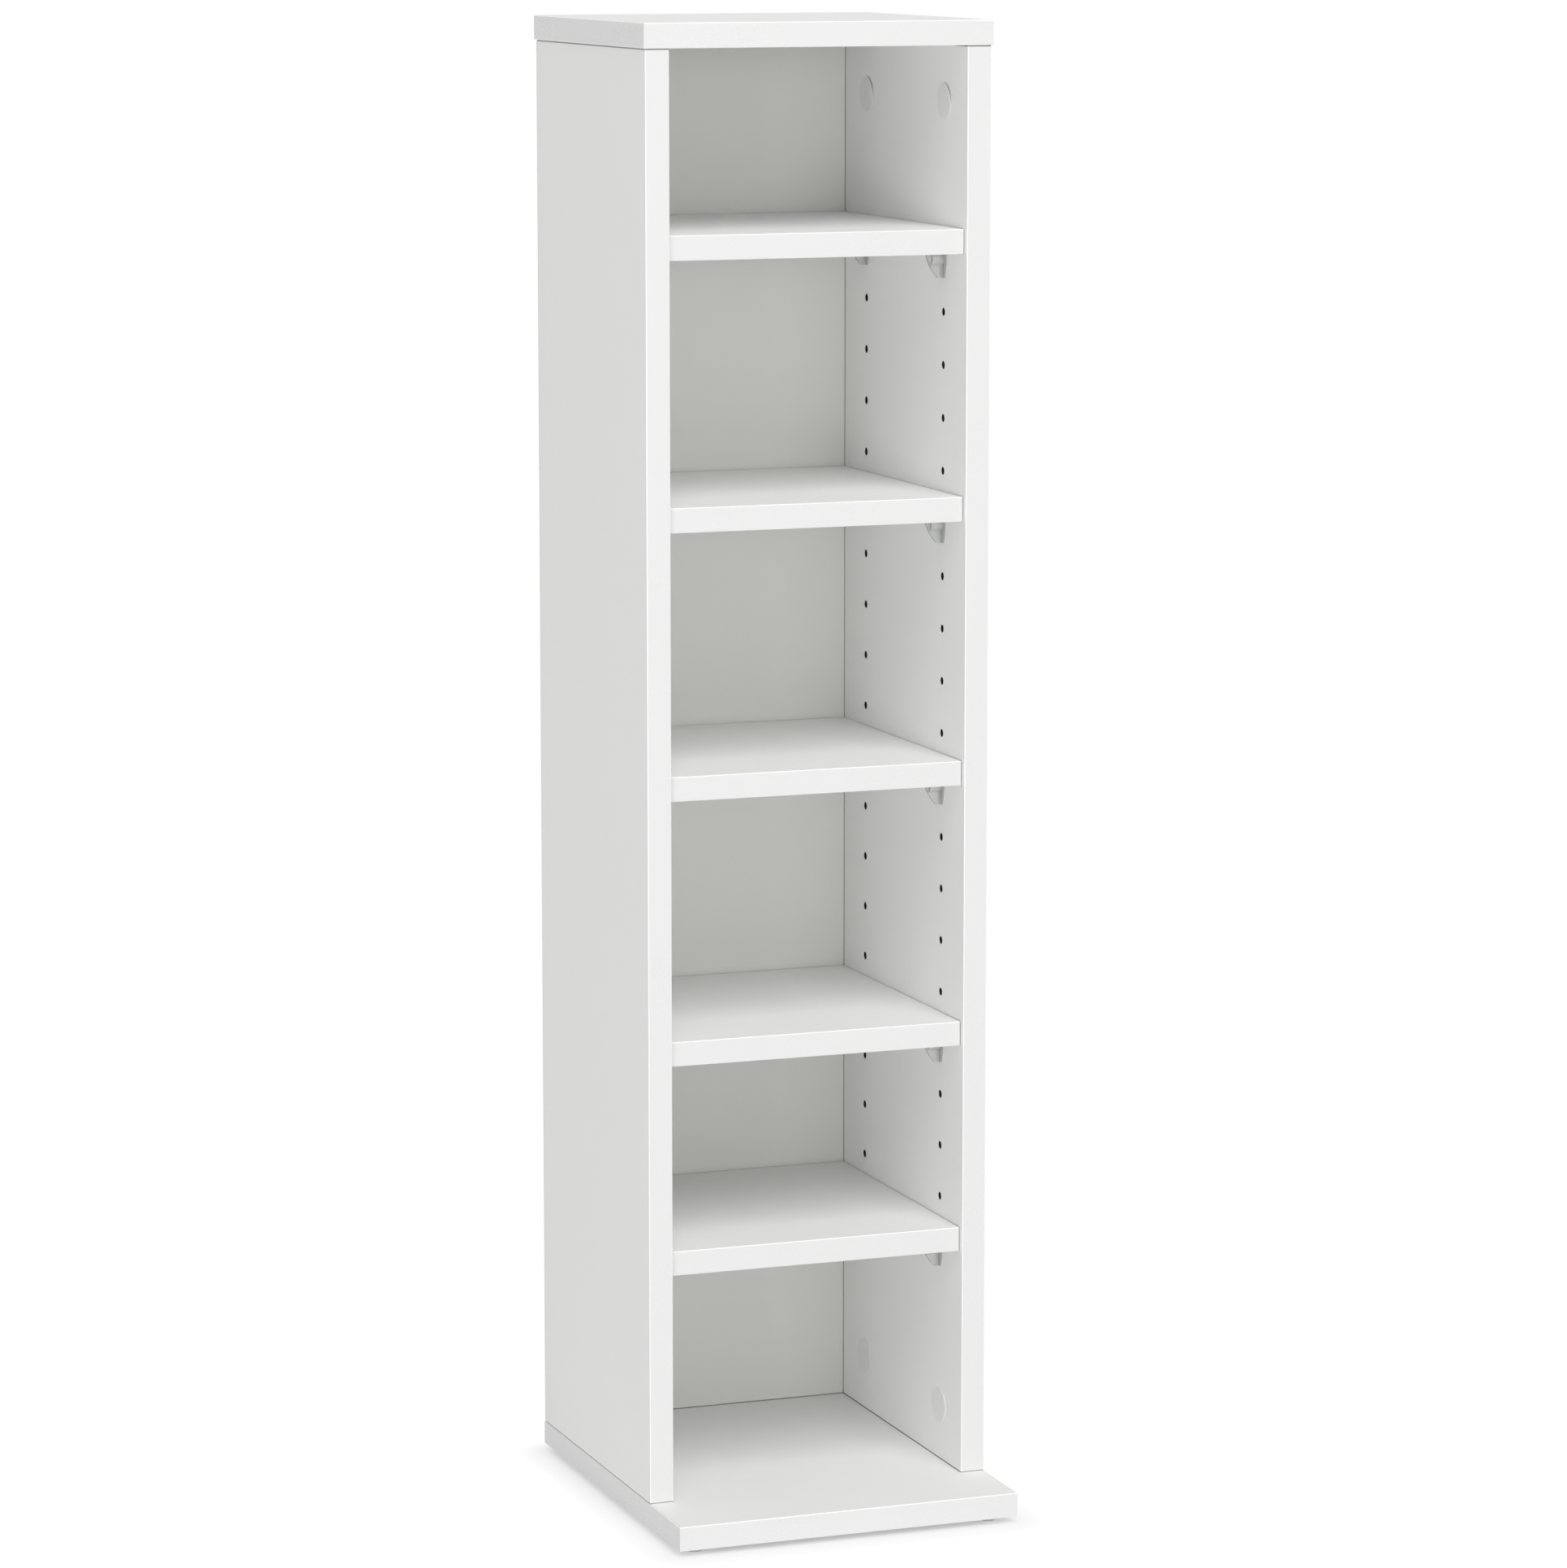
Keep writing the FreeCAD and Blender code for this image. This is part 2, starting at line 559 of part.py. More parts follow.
def revolve_cut(sketch, axis, angle=None, other_angle=None):
    """Cuts a sketch into its body by turning it about an axis, all round or between two angles."""
    body = sketch.getParentGeoFeatureGroup()
    before = body.Shape.Volume
    feature = body.newObject("PartDesign::Groove", f"{sketch.Name}_groove")
    feature.Profile = sketch
    feature.ReferenceAxis = (sketch, [axis])
    if angle:
        feature.Type = "TwoAngles"
        bind(feature, {"Angle": angle, "Angle2": other_angle})
    check_cut(body, before, feature.Name)
    return feature


def make_cam_pattern():
    """Makes a locked cam for the top of the right side, with its axis on the X axis.

    The wood's face is at x = 0 and the bolt comes from above. The hollow is eccentric, so it draws the
    bolt's head in as the cam turns. A slot for the neck runs half round to the mouth for the head.
    """
    body = new_body("cam_pattern")
    bolt_x = "Dims.board / 2"
    middle = [("0", "0")]
    disc = circles(sketch_on(body, "disc", "YZ_Plane", "Dims.cam_face_gap"), middle,
                   "Dims.cam_bore_radius - Dims.cam_clearance")
    pad(disc, f"{CAM_BORE_DEPTH} - Dims.cam_face_gap")

    hollow_radius = ("Dims.bolt_head_offset + Dims.bolt_head_radius + Dims.cam_throw"
                     " + Dims.cam_head_gap")
    hollow_half = "Dims.bolt_head_radius + Dims.cam_head_side_gap"
    front, rear = f"{bolt_x} - ({hollow_half})", f"{bolt_x} + {hollow_half}"
    low, high = "-Dims.cam_throw", f"{hollow_radius} - Dims.cam_throw"
    hollow = outline(
        sketch_on(body, "hollow", "XZ_Plane"),
        ((front, low), (rear, low), (rear, high), (front, high)),
    )
    axis_ends = [FreeCAD.Vector(value(x), value(low), 0) for x in (front, rear)]
    axis = hollow.addGeometry(Part.LineSegment(*axis_ends), True)
    pin_point(hollow, axis, 1, front, low)
    pin_point(hollow, axis, 2, rear, low)
    revolve_cut(hollow, "Axis0")

    slot_half = "Dims.bolt_neck_radius + Dims.cam_neck_gap"
    front, rear = f"{bolt_x} - ({slot_half})", f"{bolt_x} + {slot_half}"
    low, high = "Dims.bolt_head_offset", "Dims.cam_bore_radius"
    slot = outline(
        sketch_on(body, "slot", "XZ_Plane"),
        ((front, low), (rear, low), (rear, high), (front, high)),
    )
    revolve_cut(slot, "H_Axis", f"{CAM_HALF_TURN} + Dims.cam_slot_end", "Dims.cam_slot_end")

    mouth = circles(sketch_on(body, "mouth", "XY_Plane"), [(bolt_x, "0")],
                    "Dims.bolt_head_radius + Dims.cam_mouth_gap")
    pocket(mouth, "Dims.cam_bore_radius")

    for name, width, height in (
        ("drive_level", "Dims.cam_drive_length", "Dims.cam_drive_width"),
        ("drive_upright", "Dims.cam_drive_width", "Dims.cam_drive_length"),
    ):
        cross = sketch_on(body, name, "YZ_Plane", "Dims.cam_face_gap")
        pocket(middle_rectangle(cross, width, height), "Dims.cam_drive_depth", along_normal=True)
    return body


def make_bolt_pattern():
    """Makes a cam bolt for the top, with the cam's axis at z = 0 and its screwed end upwards."""
    body = new_body("bolt_pattern")
    head_end = ("Dims.bolt_head_offset"
                " + sqrt(Dims.bolt_head_radius ^ 2 - Dims.bolt_neck_radius ^ 2)")
    neck_end = "Dims.cam_bore_radius + Dims.bolt_neck_gap"
    bolt_end = "Dims.cam_setback + Dims.bolt_thread_length"
    half = outline(
        sketch_on(body, "half", "XZ_Plane"),
        (
            ("0", "Dims.bolt_head_offset - Dims.bolt_head_radius"),
            ("Dims.bolt_neck_radius", head_end),
            ("Dims.bolt_neck_radius", neck_end),
            ("Dims.bolt_shank_radius", neck_end),
            ("Dims.bolt_shank_radius", "Dims.cam_setback"),
            ("Dims.bolt_thread_radius", "Dims.cam_setback"),
            ("Dims.bolt_thread_radius", bolt_end),
            ("0", bolt_end),
        ),
        {0: ("Dims.bolt_head_radius", 1)},
    )
    turned = body.newObject("PartDesign::Revolution", "bolt_pattern_turned")
    turned.Profile = half
    turned.ReferenceAxis = (half, ["V_Axis"])
    doc.recompute()
    return body


def make_dowel_pattern():
    """Makes a dowel about the Z axis, with the joint that it crosses at z = 0."""
    body = new_body("dowel_pattern")
    section = circles(sketch_on(body, "section", "XY_Plane", "-Dims.dowel_in_side"), [("0", "0")],
                      "Dims.dowel_radius")
    pad(section, "Dims.dowel_in_side + Dims.dowel_in_board")
    soften(body, "Chamfer", "Dims.dowel_chamfer", lambda edge: edge.isClosed())
    return body


def make_cap_pattern():
    """Makes a cover for the right side, stuck on the wood at x = 0 and chamfered at its rim."""
    body = new_body("cap_pattern")
    disc = circles(sketch_on(body, "disc", "YZ_Plane"), [("0", "0")], "Dims.cap_radius")
    pad(disc, "Dims.cap_thickness", backwards=True)
    half = value("Dims.cap_thickness") / 2
    soften(body, "Chamfer", "Dims.cap_chamfer",
           lambda edge: edge.isClosed() and edge.CenterOfMass.x < -half)
    return body


def make_glide_pattern():
    """Makes a floor glide about the Z axis, from the floor up, with the hole of its nail."""
    body = new_body("glide_pattern")
    middle = [("0", "0")]
    disc = circles(sketch_on(body, "disc", "XY_Plane"), middle, "Dims.glide_radius")
    pad(disc, "Dims.glide_height")
    half = value("Dims.glide_height") / 2
    soften(body, "Chamfer", "Dims.glide_chamfer",
           lambda edge: edge.isClosed() and edge.CenterOfMass.z < half)
    drill(body, "nail", "XY_Plane", middle, GLIDE_NAIL_HOLE_RADIUS, "Dims.glide_height", True)
    drill(body, "nail_head", "XY_Plane", middle,
          "Dims.glide_nail_head_radius + Dims.fixing_clearance",
          "Dims.glide_nail_recess + Dims.glide_nail_head", True)
    return body


def make_nail_pattern(name, head_radius, head, radius, length):
    """Makes a flat-headed nail about the Z axis, with its head from z = 0 up and its point upwards."""
    body = new_body(name)
    middle = [("0", "0")]
    pad(circles(sketch_on(body, "head", "XY_Plane"), middle, head_radius), head)
    pad(circles(sketch_on(body, "shank", "XY_Plane"), middle, radius), length)
    return body


def make_pegs():
    """Sets four pegs under each shelf."""
    pattern = make_peg_pattern()
    for number in range(1, SHELF_COUNT + 1):
        pegs = [
            copy_of(pattern, f"peg_{number}_{hand}_{row}", x, row_y(setback), peg_z(number), turn)
            for hand, x, turn in (("left", f"-({INNER_FACE})", HALF_ABOUT_Z),
                                  ("right", INNER_FACE, UPRIGHT))
            for row, setback in ROWS.items()
        ]
        group(f"shelf_{number}_pegs", pegs)


def make_corner_fixings():
    """Sets the cams, their bolts and covers, and the dowels at both ends of both sides."""
    cam, bolt = make_cam_pattern(), make_bolt_pattern()
    dowel, cap = make_dowel_pattern(), make_cap_pattern()
    ends = (
        ("top", SIDE_TOP, f"{SIDE_TOP} - Dims.cam_setback", UPRIGHT,
         {"left": HALF_ABOUT_Z, "right": UPRIGHT}),
        ("base", BASE_TOP, f"{BASE_TOP} + Dims.cam_setback", HALF_ABOUT_X,
         {"left": HALF_ABOUT_Y, "right": HALF_ABOUT_X}),
    )
    for end, joint_z, cam_z, turn, cam_turns in ends:
        bolts, caps, dowels = [], [], []
        for hand, sign in (("left", "-"), ("right", "")):
            face, middle = f"{sign}({INNER_FACE})", f"{sign}({SIDE_MIDDLE})"
            cap_turn = HALF_ABOUT_Z if hand == "left" else UPRIGHT
            for row, setback in ROWS.items():
                name, y = f"{end}_{hand}_{row}", row_y(setback)
                sub_part(copy_of(cam, f"cam_{name}", face, y, cam_z, cam_turns[hand]))
                bolts.append(copy_of(bolt, f"bolt_{name}", middle, y, cam_z, turn))
                caps.append(copy_of(cap, f"cap_{name}", face, y, cam_z, cap_turn))
            for number, setback in enumerate(DOWEL_ROWS, start=1):
                name = f"dowel_{end}_{hand}_{number}"
                dowels.append(copy_of(dowel, name, middle, row_y(setback), joint_z, turn))
        group(f"{end}_cam_bolts", bolts)
        group(f"{end}_cover_caps", caps)
        group(f"{end}_dowels", dowels)


def make_glides():
    """Sets the floor glides and their nails under the base."""
    glide = make_glide_pattern()
    shank = "Dims.glide_height - Dims.glide_nail_recess + Dims.glide_nail_depth"
    nail = make_nail_pattern("glide_nail_pattern", "Dims.glide_nail_head_radius",
                             "Dims.glide_nail_head", "Dims.glide_nail_radius", shank)
    glides, nails = [], []
    for number, (x, y) in enumerate(glide_spots(), start=1):
        glides.append(copy_of(glide, f"glide_{number}", x, y, "0"))
        nails.append(copy_of(nail, f"glide_nail_{number}", x, y, "Dims.glide_nail_recess"))
    group("floor_glides", glides)
    group("glide_nails", nails)


def make_back_nails():
    """Sets the nails that hold the back panel on the rear edges of the sides."""
    nail = make_nail_pattern("back_nail_pattern", "Dims.back_nail_head_radius",
                             "Dims.back_nail_head", "Dims.back_nail_radius",
                             "Dims.back_thickness + Dims.back_nail_depth")
    forwards = FreeCAD.Rotation(FreeCAD.Vector(1, 0, 0), 90)
    nails = []
    for hand, x in (("left", f"-({SIDE_MIDDLE})"), ("right", SIDE_MIDDLE)):
        for step in range(round(value(BACK_NAIL_STEPS)) + 1):
            z = f"{BASE_TOP} + Dims.back_nail_end + {step} * Dims.back_nail_pitch"
            nails.append(copy_of(nail, f"back_nail_{hand}_{step + 1}", x, BACK_REAR, z, forwards))
    group("back_panel_nails", nails)


def make_bookcase():
    """Builds every piece of the bookcase."""
    fill_sheet()
    make_top()
    make_base()
    make_side("left", -1)
    make_side("right", 1)
    make_back()
    for number in range(1, SHELF_COUNT + 1):
        make_shelf(number)
    make_side_bands()
    top_half = "Dims.side_span / 2 + Dims.top_overhang_end"
    make_end_board_bands("top", top_half, f"{SIDE_FRONT} - Dims.top_overhang_front", SIDE_TOP)
    make_end_board_bands("base", "Dims.side_span / 2", BASE_FRONT, "Dims.glide_height")
    make_pegs()
    make_corner_fixings()
    make_glides()
    make_back_nails()
    doc.recompute()


def check_document():
    """Stops the build when any object failed or any piece has no sound shape."""
    for item in doc.Objects:
        if "Invalid" in item.State or "Error" in item.State:
            raise RuntimeError(f"{item.Name} is {item.State}")
    for item in sub_parts:
        shape = Part.getShape(item)
        if shape.isNull() or not shape.isValid() or not shape.Solids:
            raise RuntimeError(f"{item.Label} has no sound shape")


def export_parts():
    """Writes each piece to a file of its own."""
    os.makedirs("parts", exist_ok=True)
    for item in sub_parts:
        Part.getShape(item).exportStep(f"parts/{item.Label}.step")


make_bookcase()
check_document()
export_parts()
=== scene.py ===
"""Dresses a narrow white bookcase: faced boards, edge bands, clear pegs, cover foils and hidden fixings.

Lengths are in metres and angles in degrees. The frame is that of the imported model: +Z is up, -Y is the front
and the floor is at zero.
"""
import logging
import math
from dataclasses import dataclass, field
from enum import Enum, StrEnum
from typing import Callable, Union

import bmesh
import bpy
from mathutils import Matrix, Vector


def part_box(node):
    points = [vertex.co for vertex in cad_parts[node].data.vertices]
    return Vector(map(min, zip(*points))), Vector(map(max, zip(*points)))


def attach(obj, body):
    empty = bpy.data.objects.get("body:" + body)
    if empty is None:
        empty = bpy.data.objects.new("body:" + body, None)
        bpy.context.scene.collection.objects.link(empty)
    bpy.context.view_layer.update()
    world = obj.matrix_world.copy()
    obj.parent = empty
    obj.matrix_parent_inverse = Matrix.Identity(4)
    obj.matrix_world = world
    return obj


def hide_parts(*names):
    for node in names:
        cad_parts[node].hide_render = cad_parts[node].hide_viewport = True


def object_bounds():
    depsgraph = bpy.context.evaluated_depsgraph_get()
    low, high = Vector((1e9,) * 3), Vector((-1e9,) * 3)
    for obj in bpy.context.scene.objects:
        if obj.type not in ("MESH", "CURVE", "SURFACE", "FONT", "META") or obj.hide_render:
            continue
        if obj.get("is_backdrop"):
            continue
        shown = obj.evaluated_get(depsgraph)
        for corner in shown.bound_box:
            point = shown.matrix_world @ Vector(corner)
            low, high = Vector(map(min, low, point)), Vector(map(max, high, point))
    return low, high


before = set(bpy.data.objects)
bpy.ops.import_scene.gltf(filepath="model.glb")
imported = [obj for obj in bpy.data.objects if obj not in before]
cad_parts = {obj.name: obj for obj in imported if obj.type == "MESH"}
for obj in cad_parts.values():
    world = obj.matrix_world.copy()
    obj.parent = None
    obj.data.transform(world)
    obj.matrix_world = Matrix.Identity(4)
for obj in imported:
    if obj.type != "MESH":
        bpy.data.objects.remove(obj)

log = logging.getLogger("bookcase")

Source = Union[bpy.types.NodeSocket, float, tuple]
Span = tuple[Source, Source]
Colour = tuple[float, float, float, float]
Place = tuple[float, float, float]

MM = 0.001
QUARTER_TURN = 90.0
ORIGIN: Place = (0.0, 0.0, 0.0)
WHITE: Colour = (1.0, 1.0, 1.0, 1.0)
BLACK: Colour = (0.0, 0.0, 0.0, 1.0)
RISING: Span = (0.0, 1.0)
FALLING: Span = (1.0, 0.0)
SHELF_COUNT = 5
SHELVES = tuple(f"shelf_{number}" for number in range(1, SHELF_COUNT + 1))
BOX_LINE_INPUTS = {"Vector": "Vector", "Centre": "Vector", "Half": "Vector", "Width": "Float"}


class Axis(Enum):
    """The direction across a board's thickness."""

    X = 0
    Z = 2


class Hand(Enum):
    """The wall that a fitting sits on, as the sign of its x."""

    LEFT = -1
    RIGHT = 1


class End(StrEnum):
    """The end of the case that a board or fitting is at."""

    TOP = "top"
    BASE = "base"


class Row(StrEnum):
    """The row that a fitting of a side is in."""

    FRONT = "front"
    REAR = "rear"


class Element(Enum):
    """What is picked on a mesh in edit mode, with the name of its list."""

    FACE = "faces"
    EDGE = "edges"
    VERT = "verts"


class Mixing(Enum):
    """What a mix works on, with the word that ends the names of its sockets."""

    RGBA = "Color"
    FLOAT = "Float"


class Graph:
    """Short calls that fill one node tree."""

    def __init__(self, tree: bpy.types.NodeTree) -> None:
        """Keeps the tree that the calls fill."""
        self.tree = tree

    def node(self, kind: str, *terms: Source, **settings: object) -> bpy.types.Node:
        """Adds a node.

        Args:
            kind: The node's type in Blender.
            terms: What its first inputs get.
            settings: Properties of the node, by name.

        Returns:
            The new node.
        """
        made = self.tree.nodes.new(kind)
        for name, setting in settings.items():
            setattr(made, name, setting)
        for socket, term in zip(made.inputs, terms):
            self.feed(socket, term)
        return made

    def feed(self, target: bpy.types.NodeSocket, source: Source) -> None:
        """Links a socket to another one, or sets it to a plain value.

        Args:
            target: The input to fill.
            source: An output to link, or a number, vector or colour.
        """
        if isinstance(source, bpy.types.NodeSocket):
            self.tree.links.new(source, target)
        else:
            target.default_value = source

    def fill(self, node: bpy.types.Node, **values: Source) -> None:
        """Fills inputs of a node, each by its name with the words joined by underscores."""
        for name, source in values.items():
            self.feed(node.inputs[name.replace("_", " ")], source)

    def math(self, operation: str, *terms: Source) -> bpy.types.NodeSocket:
        """Adds a sum, product or comparison of plain values, and returns its output."""
        return self.node("ShaderNodeMath", *terms, operation=operation).outputs["Value"]

    def vector(self, operation: str, *terms: Source) -> bpy.types.NodeSocket:
        """Adds an operation on vectors, and returns its output, which is a plain value for a length."""
        made = self.node("ShaderNodeVectorMath", *terms, operation=operation)
        return made.outputs["Value" if operation == "LENGTH" else "Vector"]

    def parts(self, vector: Source) -> bpy.types.NodeOutputs:
        """Takes a vector apart, and returns the outputs with its three parts."""
        return self.node("ShaderNodeSeparateXYZ", vector).outputs

    def noise(self, vector: Source, scale: Source, detail: float,
              roughness: float = 0.5) -> bpy.types.NodeSocket:
        """Adds a noise pattern.

        Args:
            vector: Where the pattern is read.
            scale: Cells to the metre.
            detail: How many finer layers it has.
            roughness: How strong the finer layers are.

        Returns:
            The pattern, from 0 to 1.
        """
        made = self.node("ShaderNodeTexNoise")
        self.fill(made, Vector=vector, Scale=scale, Detail=detail, Roughness=roughness)
        return made.outputs["Fac"]

    def cells(self, vector: Source, scale: Source) -> bpy.types.NodeOutputs:
        """Adds a pattern of irregular cells.

        Args:
            vector: Where the pattern is read.
            scale: Cells to the metre.

        Returns:
            The outputs with the distance from a cell's point and its own colour.
        """
        made = self.node("ShaderNodeTexVoronoi", feature="F1")
        self.fill(made, Vector=vector, Scale=scale)
        return made.outputs

    def spread(self, value: Source, given: Span = RISING, wanted: Span = RISING) -> bpy.types.NodeSocket:
        """Maps a span of values onto another span, and holds it there.

        Args:
            value: What is mapped.
            given: The span that it comes in.
            wanted: The span that it is mapped onto.

        Returns:
            The mapped value.
        """
        made = self.node("ShaderNodeMapRange")
        self.fill(made, Value=value, From_Min=given[0], From_Max=given[1], To_Min=wanted[0], To_Max=wanted[1])
        return made.outputs["Result"]

    def blend(self, factor: Source, first: Source, second: Source,
              kind: Mixing = Mixing.RGBA) -> bpy.types.NodeSocket:
        """Mixes two colours or two plain values.

        Args:
            factor: How much of the second one counts.
            first: What comes out at 0.
            second: What comes out at 1.
            kind: Whether they are colours or plain values.

        Returns:
            The mixed colour or value.
        """
        made = self.node("ShaderNodeMix", data_type=kind.name, clamp_factor=True)
        sockets = {socket.identifier: socket for socket in made.inputs}
        self.feed(sockets["Factor_Float"], factor)
        self.feed(sockets[f"A_{kind.value}"], first)
        self.feed(sockets[f"B_{kind.value}"], second)
        return next(socket for socket in made.outputs if socket.identifier == f"Result_{kind.value}")

    def outside_box(self, vector: Source, centre: Source, half: Source) -> bpy.types.NodeSocket:
        """Measures how far a place lies outside a box.

        Args:
            vector: The place.
            centre: The middle of the box.
            half: Half its width, depth and height.

        Returns:
            The distance, 0 inside the box.
        """
        apart = self.vector("ABSOLUTE", self.vector("SUBTRACT", vector, centre))
        outside = self.vector("MAXIMUM", self.vector("SUBTRACT", apart, half), ORIGIN)
        return self.vector("LENGTH", outside)


class SharedEffect:
    """A node group that several finishes use."""

    def __init__(self, name: str, inputs: dict[str, str], outputs: dict[str, str]) -> None:
        """Makes the group with its sockets.

        Args:
            name: The group's name.
            inputs: Kinds of the input sockets, by name.
            outputs: Kinds of the output sockets, by name.
        """
        self.tree = bpy.data.node_groups.new(name, "ShaderNodeTree")
        for direction, sockets in (("INPUT", inputs), ("OUTPUT", outputs)):
            for socket, kind in sockets.items():
                self.tree.interface.new_socket(name=socket, in_out=direction, socket_type=f"NodeSocket{kind}")
        self.graph = Graph(self.tree)
        self.given = self.graph.node("NodeGroupInput").outputs
        self.result = self.graph.node("NodeGroupOutput")

    def give(self, **results: Source) -> "SharedEffect":
        """Links what the group puts out, by the names of its outputs, and returns the group."""
        self.graph.fill(self.result, **results)
        return self

    def place(self, graph: Graph, **values: Source) -> bpy.types.NodeOutputs:
        """Puts the group into a material.

        Args:
            graph: The material's graph.
            values: A source for each input, by its name.

        Returns:
            The outputs of the placed group.
        """
        placed = graph.node("ShaderNodeGroup", node_tree=self.tree)
        graph.fill(placed, **values)
        return placed.outputs


def make_orange_peel() -> SharedEffect:
    """Makes the fine dimpled skin of coated board and moulded plastic.

    Returns:
        A group that puts out a tone from 0 to 1 and a height in metres.
    """
    peel_detail = 2.0
    peel_share = 0.6
    cloud_cells = 14.0
    cloud_detail = 3.0
    cloud_share = 0.4
    tone_span = (0.35, 0.65)
    effect = SharedEffect("orange_peel", {"Vector": "Vector", "Cells": "Float", "Depth": "Float"},
                          {"Tone": "Float", "Height": "Float"})
    graph, given = effect.graph, effect.given
    peel = graph.noise(given["Vector"], given["Cells"], peel_detail)
    clouds = graph.noise(given["Vector"], cloud_cells, cloud_detail)
    tone = graph.math("MULTIPLY_ADD", peel, peel_share, graph.math("MULTIPLY", clouds, cloud_share))
    height = graph.math("MULTIPLY", peel, given["Depth"])
    return effect.give(Tone=graph.spread(tone, tone_span), Height=height)


def make_specks() -> SharedEffect:
    """Makes the few dark specks that pressed board and its coating have.

    Returns:
        A group that puts out a mask of the specks.
    """
    solid_share = 0.5
    effect = SharedEffect("specks", {"Vector": "Vector", "Spacing": "Float", "Radius": "Float"},
                          {"Mask": "Float"})
    graph, given = effect.graph, effect.given
    scale = graph.math("DIVIDE", 1.0, given["Spacing"])
    distance = graph.cells(given["Vector"], scale)["Distance"]
    reach = graph.math("MULTIPLY", given["Radius"], scale)
    solid = graph.math("MULTIPLY", reach, solid_share)
    return effect.give(Mask=graph.spread(distance, (solid, reach), FALLING))


def make_chip_core() -> SharedEffect:
    """Makes the pressed wood chips that show where a board is cut or drilled.

    Returns:
        A group that puts out a colour and a height in metres.
    """
    chip_cells = 420.0
    chip_relief = 0.12 * MM
    dark_chip = (0.36, 0.27, 0.18, 1.0)
    light_chip = (0.60, 0.48, 0.34, 1.0)
    dust = (0.47, 0.36, 0.24, 1.0)
    dust_cells = 180.0
    dust_detail = 2.0
    dust_span = (0.35, 0.75)
    effect = SharedEffect("chip_core", {"Vector": "Vector"}, {"Color": "Color", "Height": "Float"})
    graph, given = effect.graph, effect.given
    clouds = graph.noise(given["Vector"], dust_cells, dust_detail)
    chips = graph.cells(given["Vector"], chip_cells)
    pick = graph.node("ShaderNodeSeparateColor", chips["Color"]).outputs["Red"]
    wood = graph.blend(pick, dark_chip, light_chip)
    wood = graph.blend(graph.spread(clouds, dust_span), wood, dust)
    height = graph.math("MULTIPLY", chips["Distance"], -chip_relief)
    return effect.give(Color=wood, Height=height)


def make_core_mask() -> SharedEffect:
    """Makes the mask of a board's raw core, which is all but the two thin skins.

    Returns:
        A group that puts out 1 on the core and 0 on the skins.
    """
    effect = SharedEffect("core_mask", {"Across": "Float", "Low": "Float", "High": "Float", "Skin": "Float"},
                          {"Core": "Float"})
    graph, given = effect.graph, effect.given
    over = graph.math("GREATER_THAN", graph.math("SUBTRACT", given["Across"], given["Low"]), given["Skin"])
    under = graph.math("GREATER_THAN", graph.math("SUBTRACT", given["High"], given["Across"]), given["Skin"])
    return effect.give(Core=graph.math("MULTIPLY", over, under))


def make_glue_line() -> SharedEffect:
    """Makes the hairline where an edge band meets its board.

    Returns:
        A group that puts out 1 on the line and 0 beside it.
    """
    solid_share = 0.5
    effect = SharedEffect("glue_line", BOX_LINE_INPUTS, {"Line": "Float"})
    graph, given = effect.graph, effect.given
    distance = graph.outside_box(given["Vector"], given["Centre"], given["Half"])
    solid = graph.math("MULTIPLY", given["Width"], solid_share)
    return effect.give(Line=graph.spread(distance, (solid, given["Width"]), FALLING))


def make_seam() -> SharedEffect:
    """Makes the hairline of painted shade along the inner corners, where two boards meet.

    Returns:
        A group that puts out 1 on the line and 0 beside it.
    """
    more_than_one_face = 1.5
    widths_behind_front = 2.0
    effect = SharedEffect("seam", BOX_LINE_INPUTS, {"Line": "Float"})
    graph, given = effect.graph, effect.given
    offset = graph.vector("SUBTRACT", given["Vector"], given["Centre"])
    apart = graph.vector("SUBTRACT", graph.vector("ABSOLUTE", offset), given["Half"])
    beside = graph.parts(graph.vector("ABSOLUTE", apart))
    near = [graph.math("LESS_THAN", distance, given["Width"]) for distance in beside]
    faces = graph.math("ADD", graph.math("ADD", near[0], near[1]), near[2])
    corner = graph.math("GREATER_THAN", faces, more_than_one_face)
    depth = graph.parts(graph.vector("ADD", offset, given["Half"]))["Y"]
    margin = graph.math("MULTIPLY", given["Width"], widths_behind_front)
    inside = graph.math("GREATER_THAN", depth, margin)
    return effect.give(Line=graph.math("MULTIPLY", corner, inside))


def make_stripe() -> SharedEffect:
    """Makes a level stripe, such as the hairline of painted shade at the end of a board that butts against
    another.

    Returns:
        A group that puts out 1 on the stripe and 0 beside it.
    """
    effect = SharedEffect("stripe", {"Along": "Float", "Middle": "Float", "Reach": "Float"},
                          {"Mask": "Float"})
    graph, given = effect.graph, effect.given
    distance = graph.math("ABSOLUTE", graph.math("SUBTRACT", given["Along"], given["Middle"]))
    return effect.give(Mask=graph.math("LESS_THAN", distance, given["Reach"]))


def make_rounded_edge() -> SharedEffect:
    """Makes the mask of rounded edges, where a lighter colour is painted as a highlight.

    Returns:
        A group that puts out 1 on a rounding and 0 on the flat faces.
    """
    nearly_flat = (0.90, 0.99)
    effect = SharedEffect("rounded_edge", {"Normal": "Vector"}, {"Mask": "Float"})
    graph, given = effect.graph, effect.given
    parts = graph.parts(graph.vector("ABSOLUTE", given["Normal"]))
    level = graph.math("MAXIMUM", parts["X"], parts["Y"])
    largest = graph.math("MAXIMUM", level, parts["Z"])
    return effect.give(Mask=graph.spread(largest, nearly_flat, FALLING))


